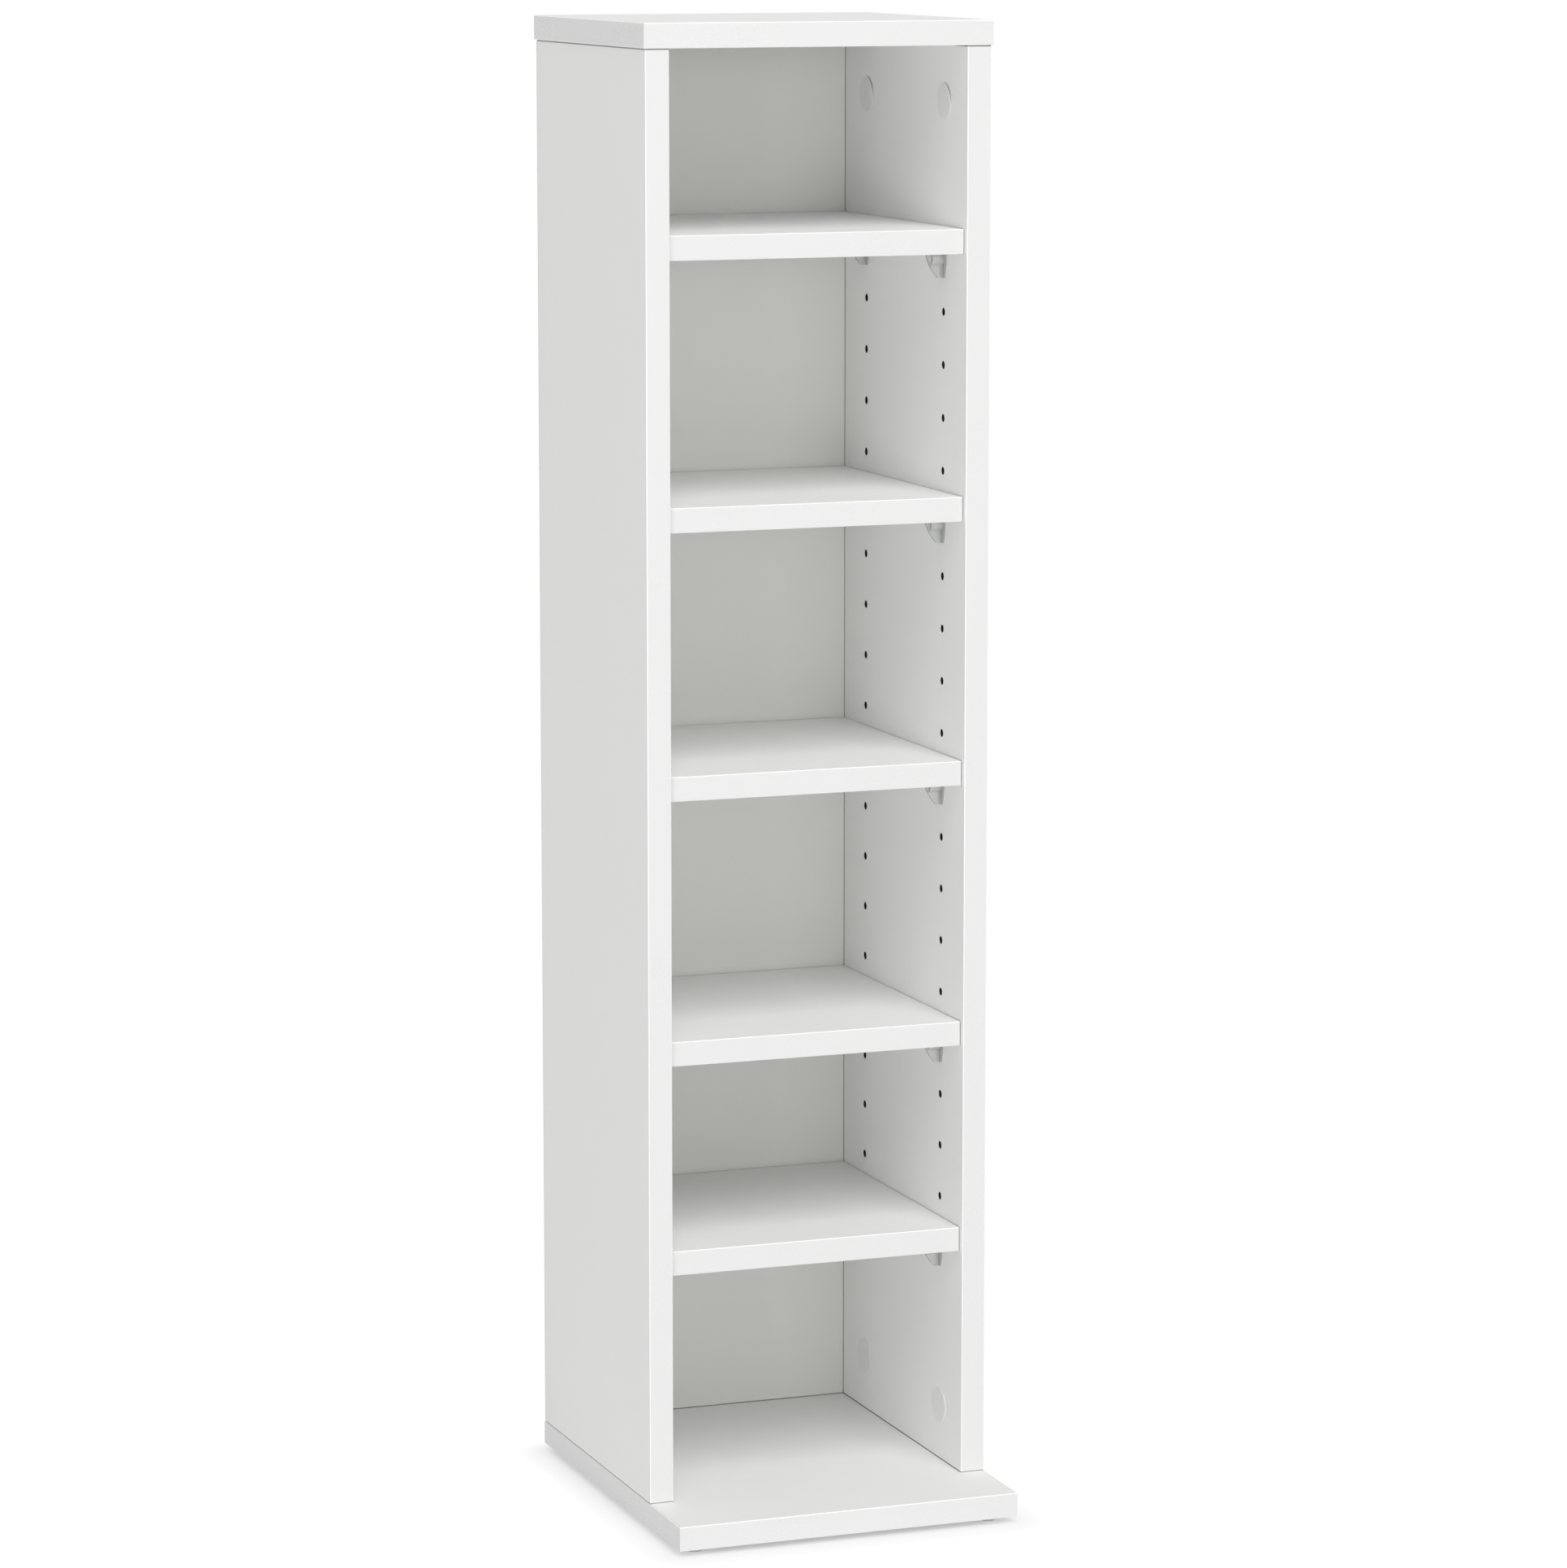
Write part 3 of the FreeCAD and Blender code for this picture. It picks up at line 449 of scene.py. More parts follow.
@dataclass(frozen=True)
class Effects:
    """The groups that the finishes share."""

    peel: SharedEffect = field(default_factory=make_orange_peel)
    specks: SharedEffect = field(default_factory=make_specks)
    chips: SharedEffect = field(default_factory=make_chip_core)
    core: SharedEffect = field(default_factory=make_core_mask)
    glue: SharedEffect = field(default_factory=make_glue_line)
    seam: SharedEffect = field(default_factory=make_seam)
    stripe: SharedEffect = field(default_factory=make_stripe)
    rounding: SharedEffect = field(default_factory=make_rounded_edge)


@dataclass(frozen=True)
class Room:
    """The space inside the case, whose corners and joints get hairlines of painted shade, standing for the
    shaded gaps.
    """

    low: Vector
    high: Vector
    # Painted shade: the colour of the hairlines in the corners and joints, which stand for the shade in the
    # gaps
    dark: Colour = (0.10, 0.10, 0.095, 1.0)
    strength: float = 0.75
    corner_width: float = 0.35 * MM
    top_joint_width: float = 0.8 * MM
    base_joint_width: float = 0.5 * MM

    @classmethod
    def of_case(cls) -> "Room":
        """Measures the space between the boards of the case.

        Returns:
            The space.
        """
        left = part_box("left_side_edge_band")[1]
        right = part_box("right_side_edge_band")[0]
        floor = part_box("base_panel")[1]
        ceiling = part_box("top_panel")[0]
        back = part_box("back_panel")[0]
        return cls(Vector((left.x, right.y, floor.z)), Vector((right.x, back.y, ceiling.z)))

    def draw(self, finish: "Finish", line: Source, colour: Source) -> bpy.types.NodeSocket:
        """Draws a hairline of painted shade, given as a mask, over a colour, and returns the colour with the
        line.
        """
        return finish.graph.blend(finish.graph.math("MULTIPLY", line, self.strength), colour, self.dark)

    def draw_corners(self, finish: "Finish", effects: Effects, colour: Source) -> bpy.types.NodeSocket:
        """Draws the hairlines of painted shade in the inner corners over a colour.

        Args:
            finish: The material that they are drawn in.
            effects: The shared groups.
            colour: What shows beside the lines.

        Returns:
            The colour with the lines.
        """
        line = effects.seam.place(finish.graph, Vector=finish.place, Centre=tuple((self.low + self.high) / 2),
                                  Half=tuple((self.high - self.low) / 2), Width=self.corner_width)["Line"]
        return self.draw(finish, line, colour)

    def draw_end_joints(self, finish: "Finish", effects: Effects, colour: Source) -> bpy.types.NodeSocket:
        """Draws the hairlines of painted shade under the top board and on the base over a colour.

        Args:
            finish: The material that they are drawn in.
            effects: The shared groups.
            colour: What shows beside the lines.

        Returns:
            The colour with the lines.
        """
        along = finish.graph.parts(finish.place)["Z"]
        for height, width in ((self.high.z, self.top_joint_width), (self.low.z, self.base_joint_width)):
            line = effects.stripe.place(finish.graph, Along=along, Middle=height, Reach=width)["Mask"]
            colour = self.draw(finish, line, colour)
        return colour


class Finish:
    """A material under construction, with its shader and the place on the piece that its patterns read."""

    def __init__(self, name: str) -> None:
        """Starts a material.

        Args:
            name: The material's name.
        """
        self.material = bpy.data.materials.new(name)
        self.material.use_nodes = True
        self.graph = Graph(self.material.node_tree)
        self.shader = self.material.node_tree.nodes["Principled BSDF"]
        coordinates = self.graph.node("ShaderNodeTexCoord").outputs
        self.place = coordinates["Object"]
        self.normal = coordinates["Normal"]

    def set(self, **values: Source) -> None:
        """Fills inputs of the shader, each by its name with the words joined by underscores."""
        self.graph.fill(self.shader, **values)

    def bump(self, height: Source) -> None:
        """Roughens the surface.

        Args:
            height: How far each place stands out, in metres.
        """
        made = self.graph.node("ShaderNodeBump")
        self.graph.fill(made, Distance=1.0, Height=height)
        self.set(Normal=made.outputs["Normal"])


@dataclass(frozen=True)
class BoardPlan:
    """How a board lies in the case."""

    axis: Axis
    bands: str
    upright: bool = False
    peg_heights: tuple[float, ...] = ()


@dataclass(frozen=True)
class FacedBoard:
    """White coated chipboard with its raw core at cut edges and holes, but with painted shade and painted
    light in the sides' peg holes.
    """

    white: Colour = (0.930, 0.931, 0.924, 1.0)
    shade: Colour = (0.915, 0.916, 0.908, 1.0)
    speck: Colour = (0.30, 0.29, 0.27, 1.0)
    # Painted shade: the sides' core, which shows only in the peg holes, is near-black for the shade inside the
    # holes
    hole_dark: Colour = (0.022, 0.021, 0.018, 1.0)
    # Painted light: the hole walls at the heights of the pegs are pale, so that the clear pegs don't show dark
    peg_pale: Colour = (0.90, 0.90, 0.89, 1.0)
    peg_reach: float = 4.0 * MM
    skin: float = 0.25 * MM
    peel_cells: float = 900.0
    peel_depth: float = 0.006 * MM
    speck_spacing: float = 0.16
    speck_radius: float = 0.45 * MM
    speck_strength: float = 0.5
    coat_roughness: Span = (0.52, 0.60)
    core_roughness: float = 0.92
    specular: float = 0.2

    def material(self, name: str, effects: Effects, room: Room, plan: BoardPlan, low: Vector,
                 high: Vector) -> bpy.types.Material:
        """Makes the finish of one board.

        Args:
            name: The material's name.
            effects: The shared groups.
            room: The space inside the case.
            plan: How the board lies.
            low: The board's lowest corner.
            high: Its highest corner.

        Returns:
            The material.
        """
        finish = Finish(name)
        graph = finish.graph
        side = plan.axis.value
        across = graph.parts(finish.place)
        core = effects.core.place(graph, Across=across[side], Low=low[side], High=high[side],
                                  Skin=self.skin)["Core"]
        peel = effects.peel.place(graph, Vector=finish.place, Cells=self.peel_cells, Depth=self.peel_depth)
        specks = effects.specks.place(graph, Vector=finish.place, Spacing=self.speck_spacing,
                                      Radius=self.speck_radius)["Mask"]
        chips = effects.chips.place(graph, Vector=finish.place)
        coated = graph.blend(peel["Tone"], self.shade, self.white)
        coated = graph.blend(graph.math("MULTIPLY", specks, self.speck_strength), coated, self.speck)
        # Hairlines of painted shade in the inner corners, and on the sides at the joints under the top and on
        # the base
        coated = room.draw_corners(finish, effects, coated)
        if plan.upright:
            coated = room.draw_end_joints(finish, effects, coated)
        # On the sides the core takes the painted shade of the holes and, at the pegs, painted light; elsewhere
        # the raw chips
        cut = self.hole_dark if plan.peg_heights else chips["Color"]
        # Painted light on the hole walls round the pegs
        for height in plan.peg_heights:
            covered = effects.stripe.place(graph, Along=across["Z"], Middle=height, Reach=self.peg_reach)
            cut = graph.blend(covered["Mask"], cut, self.peg_pale)
        coat_roughness = graph.spread(peel["Tone"], wanted=self.coat_roughness)
        finish.set(Base_Color=graph.blend(core, coated, cut))
        finish.set(Roughness=graph.blend(core, coat_roughness, self.core_roughness, Mixing.FLOAT))
        finish.set(Specular_IOR_Level=self.specular)
        finish.bump(graph.blend(core, peel["Height"], chips["Height"], Mixing.FLOAT))
        return finish.material


@dataclass(frozen=True)
class EdgeBand:
    """White plastic edge band, a little smoother than the boards, with a hairline of glue, written darker as
    painted shade and with a painted highlight on its rounded edges.
    """

    # Painted shade: the bands are written darker than the boards' white, since the fronts catch more of the
    # studio light
    white: Colour = (0.770, 0.770, 0.768, 1.0)
    shade: Colour = (0.763, 0.763, 0.761, 1.0)
    # Painted highlight: the rounded edges are written lighter than the faces
    edge: Colour = (0.950, 0.950, 0.948, 1.0)
    glue: Colour = (0.50, 0.49, 0.46, 1.0)
    glue_width: float = 0.10 * MM
    grain_cells: float = 1500.0
    grain_depth: float = 0.0015 * MM
    roughness: Span = (0.26, 0.34)
    specular: float = 0.5

    def material(self, name: str, effects: Effects, room: Room, plan: BoardPlan, low: Vector,
                 high: Vector) -> bpy.types.Material:
        """Makes the finish of the bands on one board.

        Args:
            name: The material's name.
            effects: The shared groups.
            room: The space inside the case.
            plan: How the board lies.
            low: The lowest corner of the board that they are on.
            high: Its highest corner.

        Returns:
            The material.
        """
        finish = Finish(name)
        graph = finish.graph
        line = effects.glue.place(graph, Vector=finish.place, Centre=tuple((low + high) / 2),
                                  Half=tuple((high - low) / 2), Width=self.glue_width)["Line"]
        grain = effects.peel.place(graph, Vector=finish.place, Cells=self.grain_cells, Depth=self.grain_depth)
        rounding = effects.rounding.place(graph, Normal=finish.normal)["Mask"]
        # The rounded edges get the painted highlight
        plain = graph.blend(rounding, graph.blend(grain["Tone"], self.shade, self.white), self.edge)
        if plan.upright:
            # Hairlines of painted shade at the joints under the top and on the base
            plain = room.draw_end_joints(finish, effects, plain)
        finish.set(Base_Color=graph.blend(line, plain, self.glue))
        finish.set(Roughness=graph.spread(grain["Tone"], wanted=self.roughness))
        finish.set(Specular_IOR_Level=self.specular)
        finish.bump(grain["Height"])
        return finish.material


@dataclass(frozen=True)
class BackBoard:
    """Thin hardboard, painted white but for the bare brown fibre behind."""

    white: Colour = (0.856, 0.862, 0.826, 1.0)
    shade: Colour = (0.842, 0.848, 0.811, 1.0)
    fibre: Colour = (0.33, 0.215, 0.125, 1.0)
    fibre_light: Colour = (0.45, 0.31, 0.19, 1.0)
    skin: float = 0.2 * MM
    peel_cells: float = 1100.0
    peel_depth: float = 0.005 * MM
    paint_roughness: Span = (0.46, 0.54)
    strand_stretch: Place = (1.0, 1.0, 0.35)
    strand_cells: float = 1300.0
    strand_detail: float = 6.0
    strand_contrast: float = 0.7
    strand_span: Span = (0.35, 0.68)
    strand_depth: float = 0.03 * MM
    fibre_roughness: float = 0.82
    specular: float = 0.4

    def material(self, name: str, effects: Effects, room: Room, rear: float) -> bpy.types.Material:
        """Makes the finish of the back panel.

        Args:
            name: The material's name.
            effects: The shared groups.
            room: The space inside the case.
            rear: Where the bare face lies along Y.

        Returns:
            The material.
        """
        finish = Finish(name)
        graph = finish.graph
        across = graph.parts(finish.place)["Y"]
        bare = effects.stripe.place(graph, Along=across, Middle=rear, Reach=self.skin)["Mask"]
        peel = effects.peel.place(graph, Vector=finish.place, Cells=self.peel_cells, Depth=self.peel_depth)
        drawn = graph.vector("MULTIPLY", finish.place, self.strand_stretch)
        strands = graph.noise(drawn, self.strand_cells, self.strand_detail, self.strand_contrast)
        # Hairlines of painted shade in the inner corners
        painted = room.draw_corners(finish, effects, graph.blend(peel["Tone"], self.shade, self.white))
        fibre = graph.blend(graph.spread(strands, self.strand_span), self.fibre, self.fibre_light)
        paint_roughness = graph.spread(peel["Tone"], wanted=self.paint_roughness)
        fibre_height = graph.math("MULTIPLY", strands, self.strand_depth)
        finish.set(Base_Color=graph.blend(bare, painted, fibre))
        finish.set(Roughness=graph.blend(bare, paint_roughness, self.fibre_roughness, Mixing.FLOAT))
        finish.set(Specular_IOR_Level=self.specular)
        finish.bump(graph.blend(bare, peel["Height"], fibre_height, Mixing.FLOAT))
        return finish.material


@dataclass(frozen=True)
class PlainStuff:
    """A stuff that is alike all through, whose fine grain sets its tone, gloss and bump.

    The grain runs from dark to light, and from the first roughness to the second. What is fixed is the same
    all over.
    """

    light: Colour
    dark: Colour
    roughness: Span
    grain_cells: float
    grain_depth: float
    stretch: Place = (1.0, 1.0, 1.0)
    fixed: dict[str, float] = field(default_factory=dict)

    def material(self, name: str, effects: Effects) -> bpy.types.Material:
        """Makes the finish of some fittings.

        Args:
            name: The material's name.
            effects: The shared groups.

        Returns:
            The material.
        """
        finish = Finish(name)
        graph = finish.graph
        drawn = graph.vector("MULTIPLY", finish.place, self.stretch)
        grain = effects.peel.place(graph, Vector=drawn, Cells=self.grain_cells, Depth=self.grain_depth)
        finish.set(Base_Color=graph.blend(grain["Tone"], self.dark, self.light))
        finish.set(Roughness=graph.spread(grain["Tone"], wanted=self.roughness))
        finish.set(**self.fixed)
        finish.bump(grain["Height"])
        return finish.material


# Clear moulded plastic, a little milky, with faint flow marks
CLEAR_PLASTIC = PlainStuff(
    light=(0.90, 0.91, 0.90, 1.0), dark=(0.82, 0.83, 0.82, 1.0), roughness=(0.03, 0.10),
    grain_cells=260.0, grain_depth=0.02 * MM, fixed={"Transmission_Weight": 0.5, "IOR": 1.4})
# Milky soft plastic
GLIDE_PLASTIC = PlainStuff(
    light=(0.80, 0.80, 0.78, 1.0), dark=(0.70, 0.70, 0.68, 1.0), roughness=(0.30, 0.42),
    grain_cells=700.0, grain_depth=0.01 * MM, fixed={"Subsurface_Weight": 0.3, "Subsurface_Scale": 1.5 * MM})
# Matt self-adhesive foil, a shade cooler than the boards
COVER_FOIL = PlainStuff(
    light=(0.860, 0.863, 0.868, 1.0), dark=(0.840, 0.843, 0.848, 1.0), roughness=(0.5, 0.6),
    grain_cells=1600.0, grain_depth=0.005 * MM)
# Turned beech with fine flecks along its length
DOWEL_BEECH = PlainStuff(
    light=(0.66, 0.47, 0.30, 1.0), dark=(0.47, 0.31, 0.18, 1.0), roughness=(0.75, 0.6),
    grain_cells=1400.0, grain_depth=0.04 * MM, stretch=(1.0, 1.0, 0.12))
# Bare metals with the marks of casting or turning
METAL = {"Metallic": 1.0}
CAM_ZINC = PlainStuff(
    light=(0.60, 0.60, 0.59, 1.0), dark=(0.42, 0.42, 0.42, 1.0), roughness=(0.58, 0.38),
    grain_cells=1200.0, grain_depth=0.03 * MM, fixed=METAL)
BOLT_STEEL = PlainStuff(
    light=(0.70, 0.69, 0.65, 1.0), dark=(0.55, 0.54, 0.51, 1.0), roughness=(0.40, 0.22),
    grain_cells=2500.0, grain_depth=0.01 * MM, stretch=(0.05, 0.05, 1.0), fixed=METAL)
NAIL_STEEL = PlainStuff(
    light=(0.62, 0.62, 0.61, 1.0), dark=(0.45, 0.45, 0.44, 1.0), roughness=(0.5, 0.3),
    grain_cells=900.0, grain_depth=0.02 * MM, fixed=METAL)


def dress(node: str, material: bpy.types.Material) -> None:
    """Gives a carried-over node its finish.

    Args:
        node: The node's name.
        material: The finish.
    """
    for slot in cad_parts[node].material_slots:
        slot.material = material
    log.info("dressed %s in %s", node, material.name)


@dataclass
class Carcass:
    """The boards of the case and the loose shelves, with the bands on their edges."""

    board: FacedBoard = FacedBoard()
    band: EdgeBand = EdgeBand()
    pin_drop: float = 4.5 * MM

    def boards(self) -> dict[str, BoardPlan]:
        """Lists the boards.

        Returns:
            How each board lies, by its node.
        """
        peg_heights = tuple(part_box(shelf)[0].z - self.pin_drop for shelf in SHELVES)
        plans = {f"{end}_panel": BoardPlan(Axis.Z, f"{end}_edge_bands") for end in End}
        for hand in Hand:
            side = f"{hand.name.lower()}_side"
            plans[f"{side}_panel"] = BoardPlan(Axis.X, f"{side}_edge_band", True, peg_heights)
        for shelf in SHELVES:
            plans[shelf] = BoardPlan(Axis.Z, f"{shelf}_edge_band")
        return plans

    def dress(self, effects: Effects) -> None:
        """Gives every board and its bands their finishes.

        Args:
            effects: The shared groups.
        """
        room = Room.of_case()
        for node, plan in self.boards().items():
            low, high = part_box(node)
            dress(node, self.board.material(f"{node}_board", effects, room, plan, low, high))
            dress(plan.bands, self.band.material(f"{node}_band", effects, room, plan, low, high))


@dataclass
class RearPanel:
    """The thin back panel and its nails."""

    board: BackBoard = BackBoard()
    steel: PlainStuff = NAIL_STEEL

    def dress(self, effects: Effects) -> None:
        """Gives the panel and its nails their finishes.

        Args:
            effects: The shared groups.
        """
        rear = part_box("back_panel")[1].y
        dress("back_panel", self.board.material("back_panel_board", effects, Room.of_case(), rear))
        dress("back_panel_nails", self.steel.material("nail_steel", effects))


@dataclass
class ShelfPegs:
    """The clear pegs under the shelves."""

    plastic: PlainStuff = CLEAR_PLASTIC

    def dress(self, effects: Effects) -> None:
        """Gives the pegs their finish.

        Args:
            effects: The shared groups.
        """
        clear = self.plastic.material("peg_plastic", effects)
        for shelf in SHELVES:
            dress(f"{shelf}_pegs", clear)


@dataclass
class CornerFixings:
    """The cams, bolts and dowels inside the corners."""

    zinc: PlainStuff = CAM_ZINC
    plated: PlainStuff = BOLT_STEEL
    beech: PlainStuff = DOWEL_BEECH

    def dress(self, effects: Effects) -> None:
        """Gives the fixings their finishes.

        Args:
            effects: The shared groups.
        """
        zinc = self.zinc.material("cam_zinc", effects)
        plated = self.plated.material("bolt_steel", effects)
        beech = self.beech.material("dowel_beech", effects)
        for end in End:
            for hand in Hand:
                for row in Row:
                    dress(f"cam_{end}_{hand.name.lower()}_{row}", zinc)
            dress(f"{end}_cam_bolts", plated)
            dress(f"{end}_dowels", beech)


@dataclass
class FloorGlides:
    """The glides under the base and the nails that hold them."""

    plastic: PlainStuff = GLIDE_PLASTIC
    steel: PlainStuff = NAIL_STEEL

    def dress(self, effects: Effects) -> None:
        """Gives the glides and their nails their finishes."""
        dress("floor_glides", self.plastic.material("glide_plastic", effects))
        dress("glide_nails", self.steel.material("glide_nail_steel", effects))


def select_only(*chosen: bpy.types.Object) -> None:
    """Selects some objects and no others, and makes the first one active.

    Args:
        chosen: The objects.
    """
    bpy.ops.object.select_all(action="DESELECT")
    for item in chosen:
        item.select_set(True)
    bpy.context.view_layer.objects.active = chosen[0]


def face_outward() -> None:
    """Turns every face of the mesh in edit mode outward."""
    bpy.ops.mesh.select_all(action="SELECT")
    bpy.ops.mesh.normals_make_consistent(inside=False)


@dataclass
class CoverFoils:
    """Round stick-on foils over the cam locks, which stand for the plain covers."""

    foil: PlainStuff = COVER_FOIL
    sides: int = 96
    thickness: float = 0.35 * MM
    rings: tuple[float, ...] = (1.2 * MM, 1.6 * MM, 2.2 * MM, 2.6 * MM)
    rim_round: float = 0.1 * MM
    rim_steps: int = 2
    flat_limit: float = 0.9
    smooth_angle: float = 35.0
    lifted_way: Place = (0.0, -1.0, 1.0)
    lift_reach: float = 13.0 * MM
    lifts: dict[End, float] = field(default_factory=lambda: {End.TOP: 0.9 * MM, End.BASE: 0.03 * MM})

    def pick(self, foil: bpy.types.Object, kind: Element, test: Callable[[object], bool]) -> None:
        """Selects the faces, edges or vertices of a foil that pass a test, in edit mode.

        Args:
            foil: The foil.
            kind: What is selected.
            test: Tells whether an element is taken.
        """
        bpy.ops.mesh.select_mode(type=kind.name)
        bpy.ops.mesh.select_all(action="DESELECT")
        mesh = bmesh.from_edit_mesh(foil.data)
        for element in getattr(mesh, kind.value):
            element.select_set(test(element))
        bmesh.update_edit_mesh(foil.data)

    def model(self, radius: float, lift: float) -> bpy.types.Object:
        """Models a foil for the right wall, with its middle at the origin and its glued face at x zero.

        Args:
            radius: The foil's radius.
            lift: How far its upper front rim stands off the wall.

        Returns:
            The foil.
        """
        bpy.ops.object.select_all(action="DESELECT")
        bpy.ops.mesh.primitive_cylinder_add(vertices=self.sides, radius=radius, depth=self.thickness,
                                            rotation=(0.0, math.radians(QUARTER_TURN), 0.0),
                                            location=(-self.thickness / 2, 0.0, 0.0))
        foil = bpy.context.object
        bpy.ops.object.transform_apply(location=True, rotation=True, scale=True)
        bpy.ops.object.mode_set(mode="EDIT")
        self.pick(foil, Element.FACE, lambda face: abs(face.normal.x) > self.flat_limit)
        for ring in self.rings:
            bpy.ops.mesh.inset(thickness=ring, use_individual=True)
        rim = radius - self.rings[0] / 2
        inner = -self.thickness / 2
        self.pick(foil, Element.EDGE,
                  lambda edge: all(v.co.yz.length > rim and v.co.x < inner for v in edge.verts))
        bpy.ops.mesh.bevel(offset=self.rim_round, segments=self.rim_steps)
        corner = Vector(self.lifted_way).normalized() * radius
        grip = 2 * self.thickness
        self.pick(foil, Element.VERT, lambda vertex: (vertex.co - corner).length < grip)
        bpy.ops.transform.translate(value=(-lift, 0.0, 0.0), use_proportional_edit=True,
                                    proportional_edit_falloff="SMOOTH", proportional_size=self.lift_reach)
        face_outward()
        bpy.ops.object.mode_set(mode="OBJECT")
        bpy.ops.object.shade_smooth_by_angle(angle=math.radians(self.smooth_angle))
        return foil

    def copy_to(self, foil: bpy.types.Object, hand: Hand, place: Vector) -> bpy.types.Object:
        """Copies a foil onto a wall.

        Args:
            foil: The modelled foil.
            hand: The wall.
            place: Where its middle goes.

        Returns:
            The copy, with its place in its mesh.
        """
        copy = foil.copy()
        copy.data = foil.data.copy()
        bpy.context.scene.collection.objects.link(copy)
        select_only(copy)
        copy.location = place
        copy.scale.x = hand.value
        bpy.ops.object.transform_apply(location=True, rotation=True, scale=True)
        bpy.ops.object.mode_set(mode="EDIT")
        face_outward()
        bpy.ops.object.mode_set(mode="OBJECT")
        return copy

    def build(self, end: End) -> bpy.types.Object:
        """Models the four foils at one end of the case as one piece.

        Args:
            end: The end of the case.

        Returns:
            The piece, which rides on the case and replaces the plain covers.
        """
        low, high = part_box(f"{end}_cover_caps")
        radius = (high.z - low.z) / 2
        foil = self.model(radius, self.lifts[end])
        middle = (low.z + high.z) / 2
        copies = []
        for hand, wall in ((Hand.LEFT, low.x), (Hand.RIGHT, high.x)):
            for row in (low.y + radius, high.y - radius):
                copies.append(self.copy_to(foil, hand, Vector((wall, row, middle))))
        bpy.data.objects.remove(foil)
        select_only(*copies)
        bpy.ops.object.join()
        piece = bpy.context.object
        piece.name = f"{end}_cover_foils"
        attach(piece, "case")
        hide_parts(f"{end}_cover_caps")
        log.info("built %s", piece.name)
        return piece

    def dress(self, effects: Effects) -> None:
        """Builds the foils and gives them and the plain covers their finish.

        Args:
            effects: The shared groups.
        """
        matt = self.foil.material("cover_foil", effects)
        for end in self.lifts:
            piece = self.build(end)
            piece.data.materials.clear()
            piece.data.materials.append(matt)
            dress(f"{end}_cover_caps", matt)


@dataclass(frozen=True)
class Softbox:
    """A flat lamp that is aimed at the bookcase, with its power in watts."""

    name: str
    place: Place
    power: float
    width: float
    height: float
    aim: Place = (0.0, 0.0, 0.45)

    def hang(self) -> None:
        """Puts the lamp in the scene."""
        lamp = bpy.data.lights.new(self.name, "AREA")
        lamp.shape = "RECTANGLE"
        lamp.size = self.width
        lamp.size_y = self.height
        lamp.energy = self.power
        softbox = bpy.data.objects.new(self.name, lamp)
        bpy.context.scene.collection.objects.link(softbox)
        softbox.location = self.place
        softbox.rotation_euler = (Vector(self.aim) - Vector(self.place)).to_track_quat("-Z", "Y").to_euler()


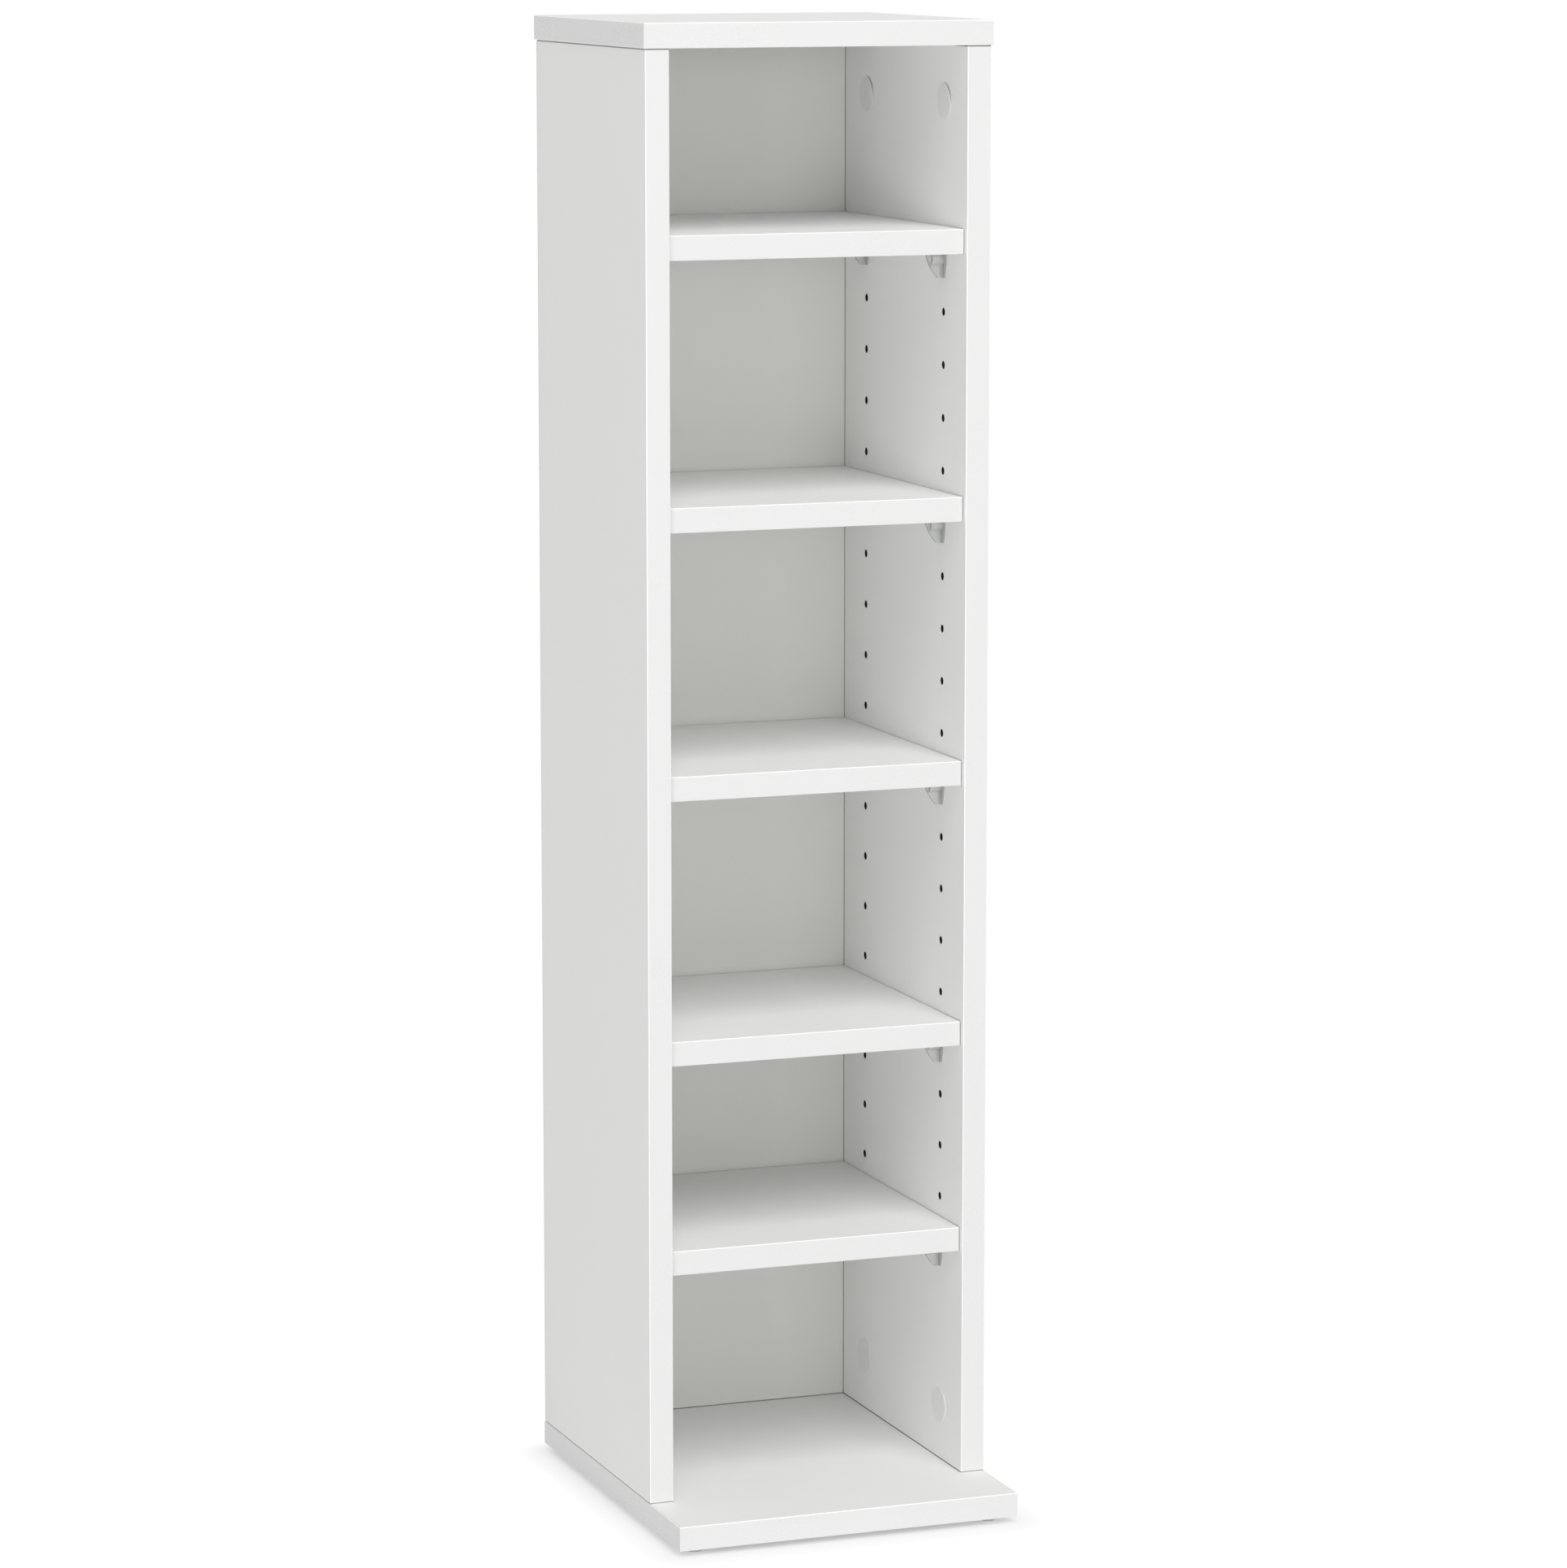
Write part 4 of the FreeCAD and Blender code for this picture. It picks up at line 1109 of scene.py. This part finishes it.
@dataclass
class Studio:
    """The pale floor, the soft light and the camera, whose lens and sensor are in millimetres.

    The floor glows from the first level at the bookcase to the second one farther off.
    """

    floor_size: float = 40.0
    floor_white: Colour = (0.90, 0.90, 0.90, 1.0)
    glow: Span = (0.38, 1.0)
    glow_reach: Span = (0.0, 28.0 * MM)
    glow_inset: float = 10.0 * MM
    ambient: float = 0.435
    background: float = 1.0
    lamps: tuple[Softbox, ...] = (
        Softbox(name="overhead_softbox", place=(-0.72, -16.5, 20.5), power=3500.0, width=16.5, height=16.5),
        Softbox(name="left_softbox", place=(-3.75, -4.02, 0.45), power=47.5, width=1.9, height=0.85),
        Softbox(name="front_softbox", place=(0.7, -12.0, 0.45), power=238.0, width=4.1, height=4.1),
    )
    camera_place: Place = (-1.2122, -3.2786, 0.9870)
    camera_pitch: float = -8.877
    camera_yaw: float = 20.371
    camera_lens: float = 133.25
    sensor: float = 36.0

    def seen_directly(self, graph: Graph) -> bpy.types.NodeSocket:
        """Adds a mask of the rays from the camera, also by way of gloss or glass.

        Args:
            graph: The graph to add it to.

        Returns:
            The mask, 0 or 1.
        """
        path = graph.node("ShaderNodeLightPath").outputs
        by_gloss = graph.math("MAXIMUM", path["Is Glossy Ray"], path["Is Transmission Ray"])
        return graph.math("MAXIMUM", path["Is Camera Ray"], by_gloss)

    def build_floor(self) -> None:
        """Lays the pale floor, which shows the shadow near the bookcase and is plain white farther off."""
        low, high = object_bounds()
        bpy.ops.object.select_all(action="DESELECT")
        bpy.ops.mesh.primitive_plane_add(size=self.floor_size, location=ORIGIN)
        floor = bpy.context.object
        floor.name = "studio_floor"
        paper = Finish("studio_paper")
        graph = paper.graph
        half = (high - low) / 2 - Vector((self.glow_inset, self.glow_inset, 0.0))
        away = graph.outside_box(paper.place, tuple((low + high) / 2), tuple(half))
        glow = graph.spread(away, self.glow_reach, self.glow)
        glow = graph.math("MULTIPLY", self.seen_directly(graph), glow)
        paper.set(Base_Color=graph.blend(glow, self.floor_white, BLACK), Roughness=1.0)
        paper.set(Specular_IOR_Level=0.0, Emission_Color=WHITE, Emission_Strength=glow)
        floor.data.materials.append(paper.material)
        floor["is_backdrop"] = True

    def build_light(self) -> None:
        """Hangs the soft lamps and sets the even light all round."""
        world = bpy.data.worlds.new("studio_world")
        world.use_nodes = True
        bpy.context.scene.world = world
        graph = Graph(world.node_tree)
        strength = graph.spread(self.seen_directly(graph), wanted=(self.ambient, self.background))
        graph.fill(world.node_tree.nodes["Background"], Color=WHITE, Strength=strength)
        for lamp in self.lamps:
            lamp.hang()

    def build_camera(self) -> None:
        """Sets the camera at the viewing angle of the photograph."""
        lens = bpy.data.cameras.new("camera")
        lens.lens = self.camera_lens
        lens.sensor_width = self.sensor
        camera = bpy.data.objects.new("camera", lens)
        bpy.context.scene.collection.objects.link(camera)
        camera.location = self.camera_place
        tilt = math.radians(QUARTER_TURN + self.camera_pitch)
        camera.rotation_euler = (tilt, 0.0, math.radians(-self.camera_yaw))
        bpy.context.scene.camera = camera

    def build(self) -> None:
        """Builds the whole studio."""
        self.build_floor()
        self.build_light()
        self.build_camera()
        bpy.context.scene.view_settings.view_transform = "Standard"


def main() -> None:
    """Builds and dresses the bookcase and its studio."""
    logging.basicConfig(level=logging.INFO, format="%(name)s: %(message)s")
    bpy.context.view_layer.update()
    effects = Effects()
    for assembly in (Carcass(), RearPanel(), ShelfPegs(), CornerFixings(), FloorGlides(), CoverFoils()):
        assembly.dress(effects)
    Studio().build()


if __name__ == "__main__":
    main()
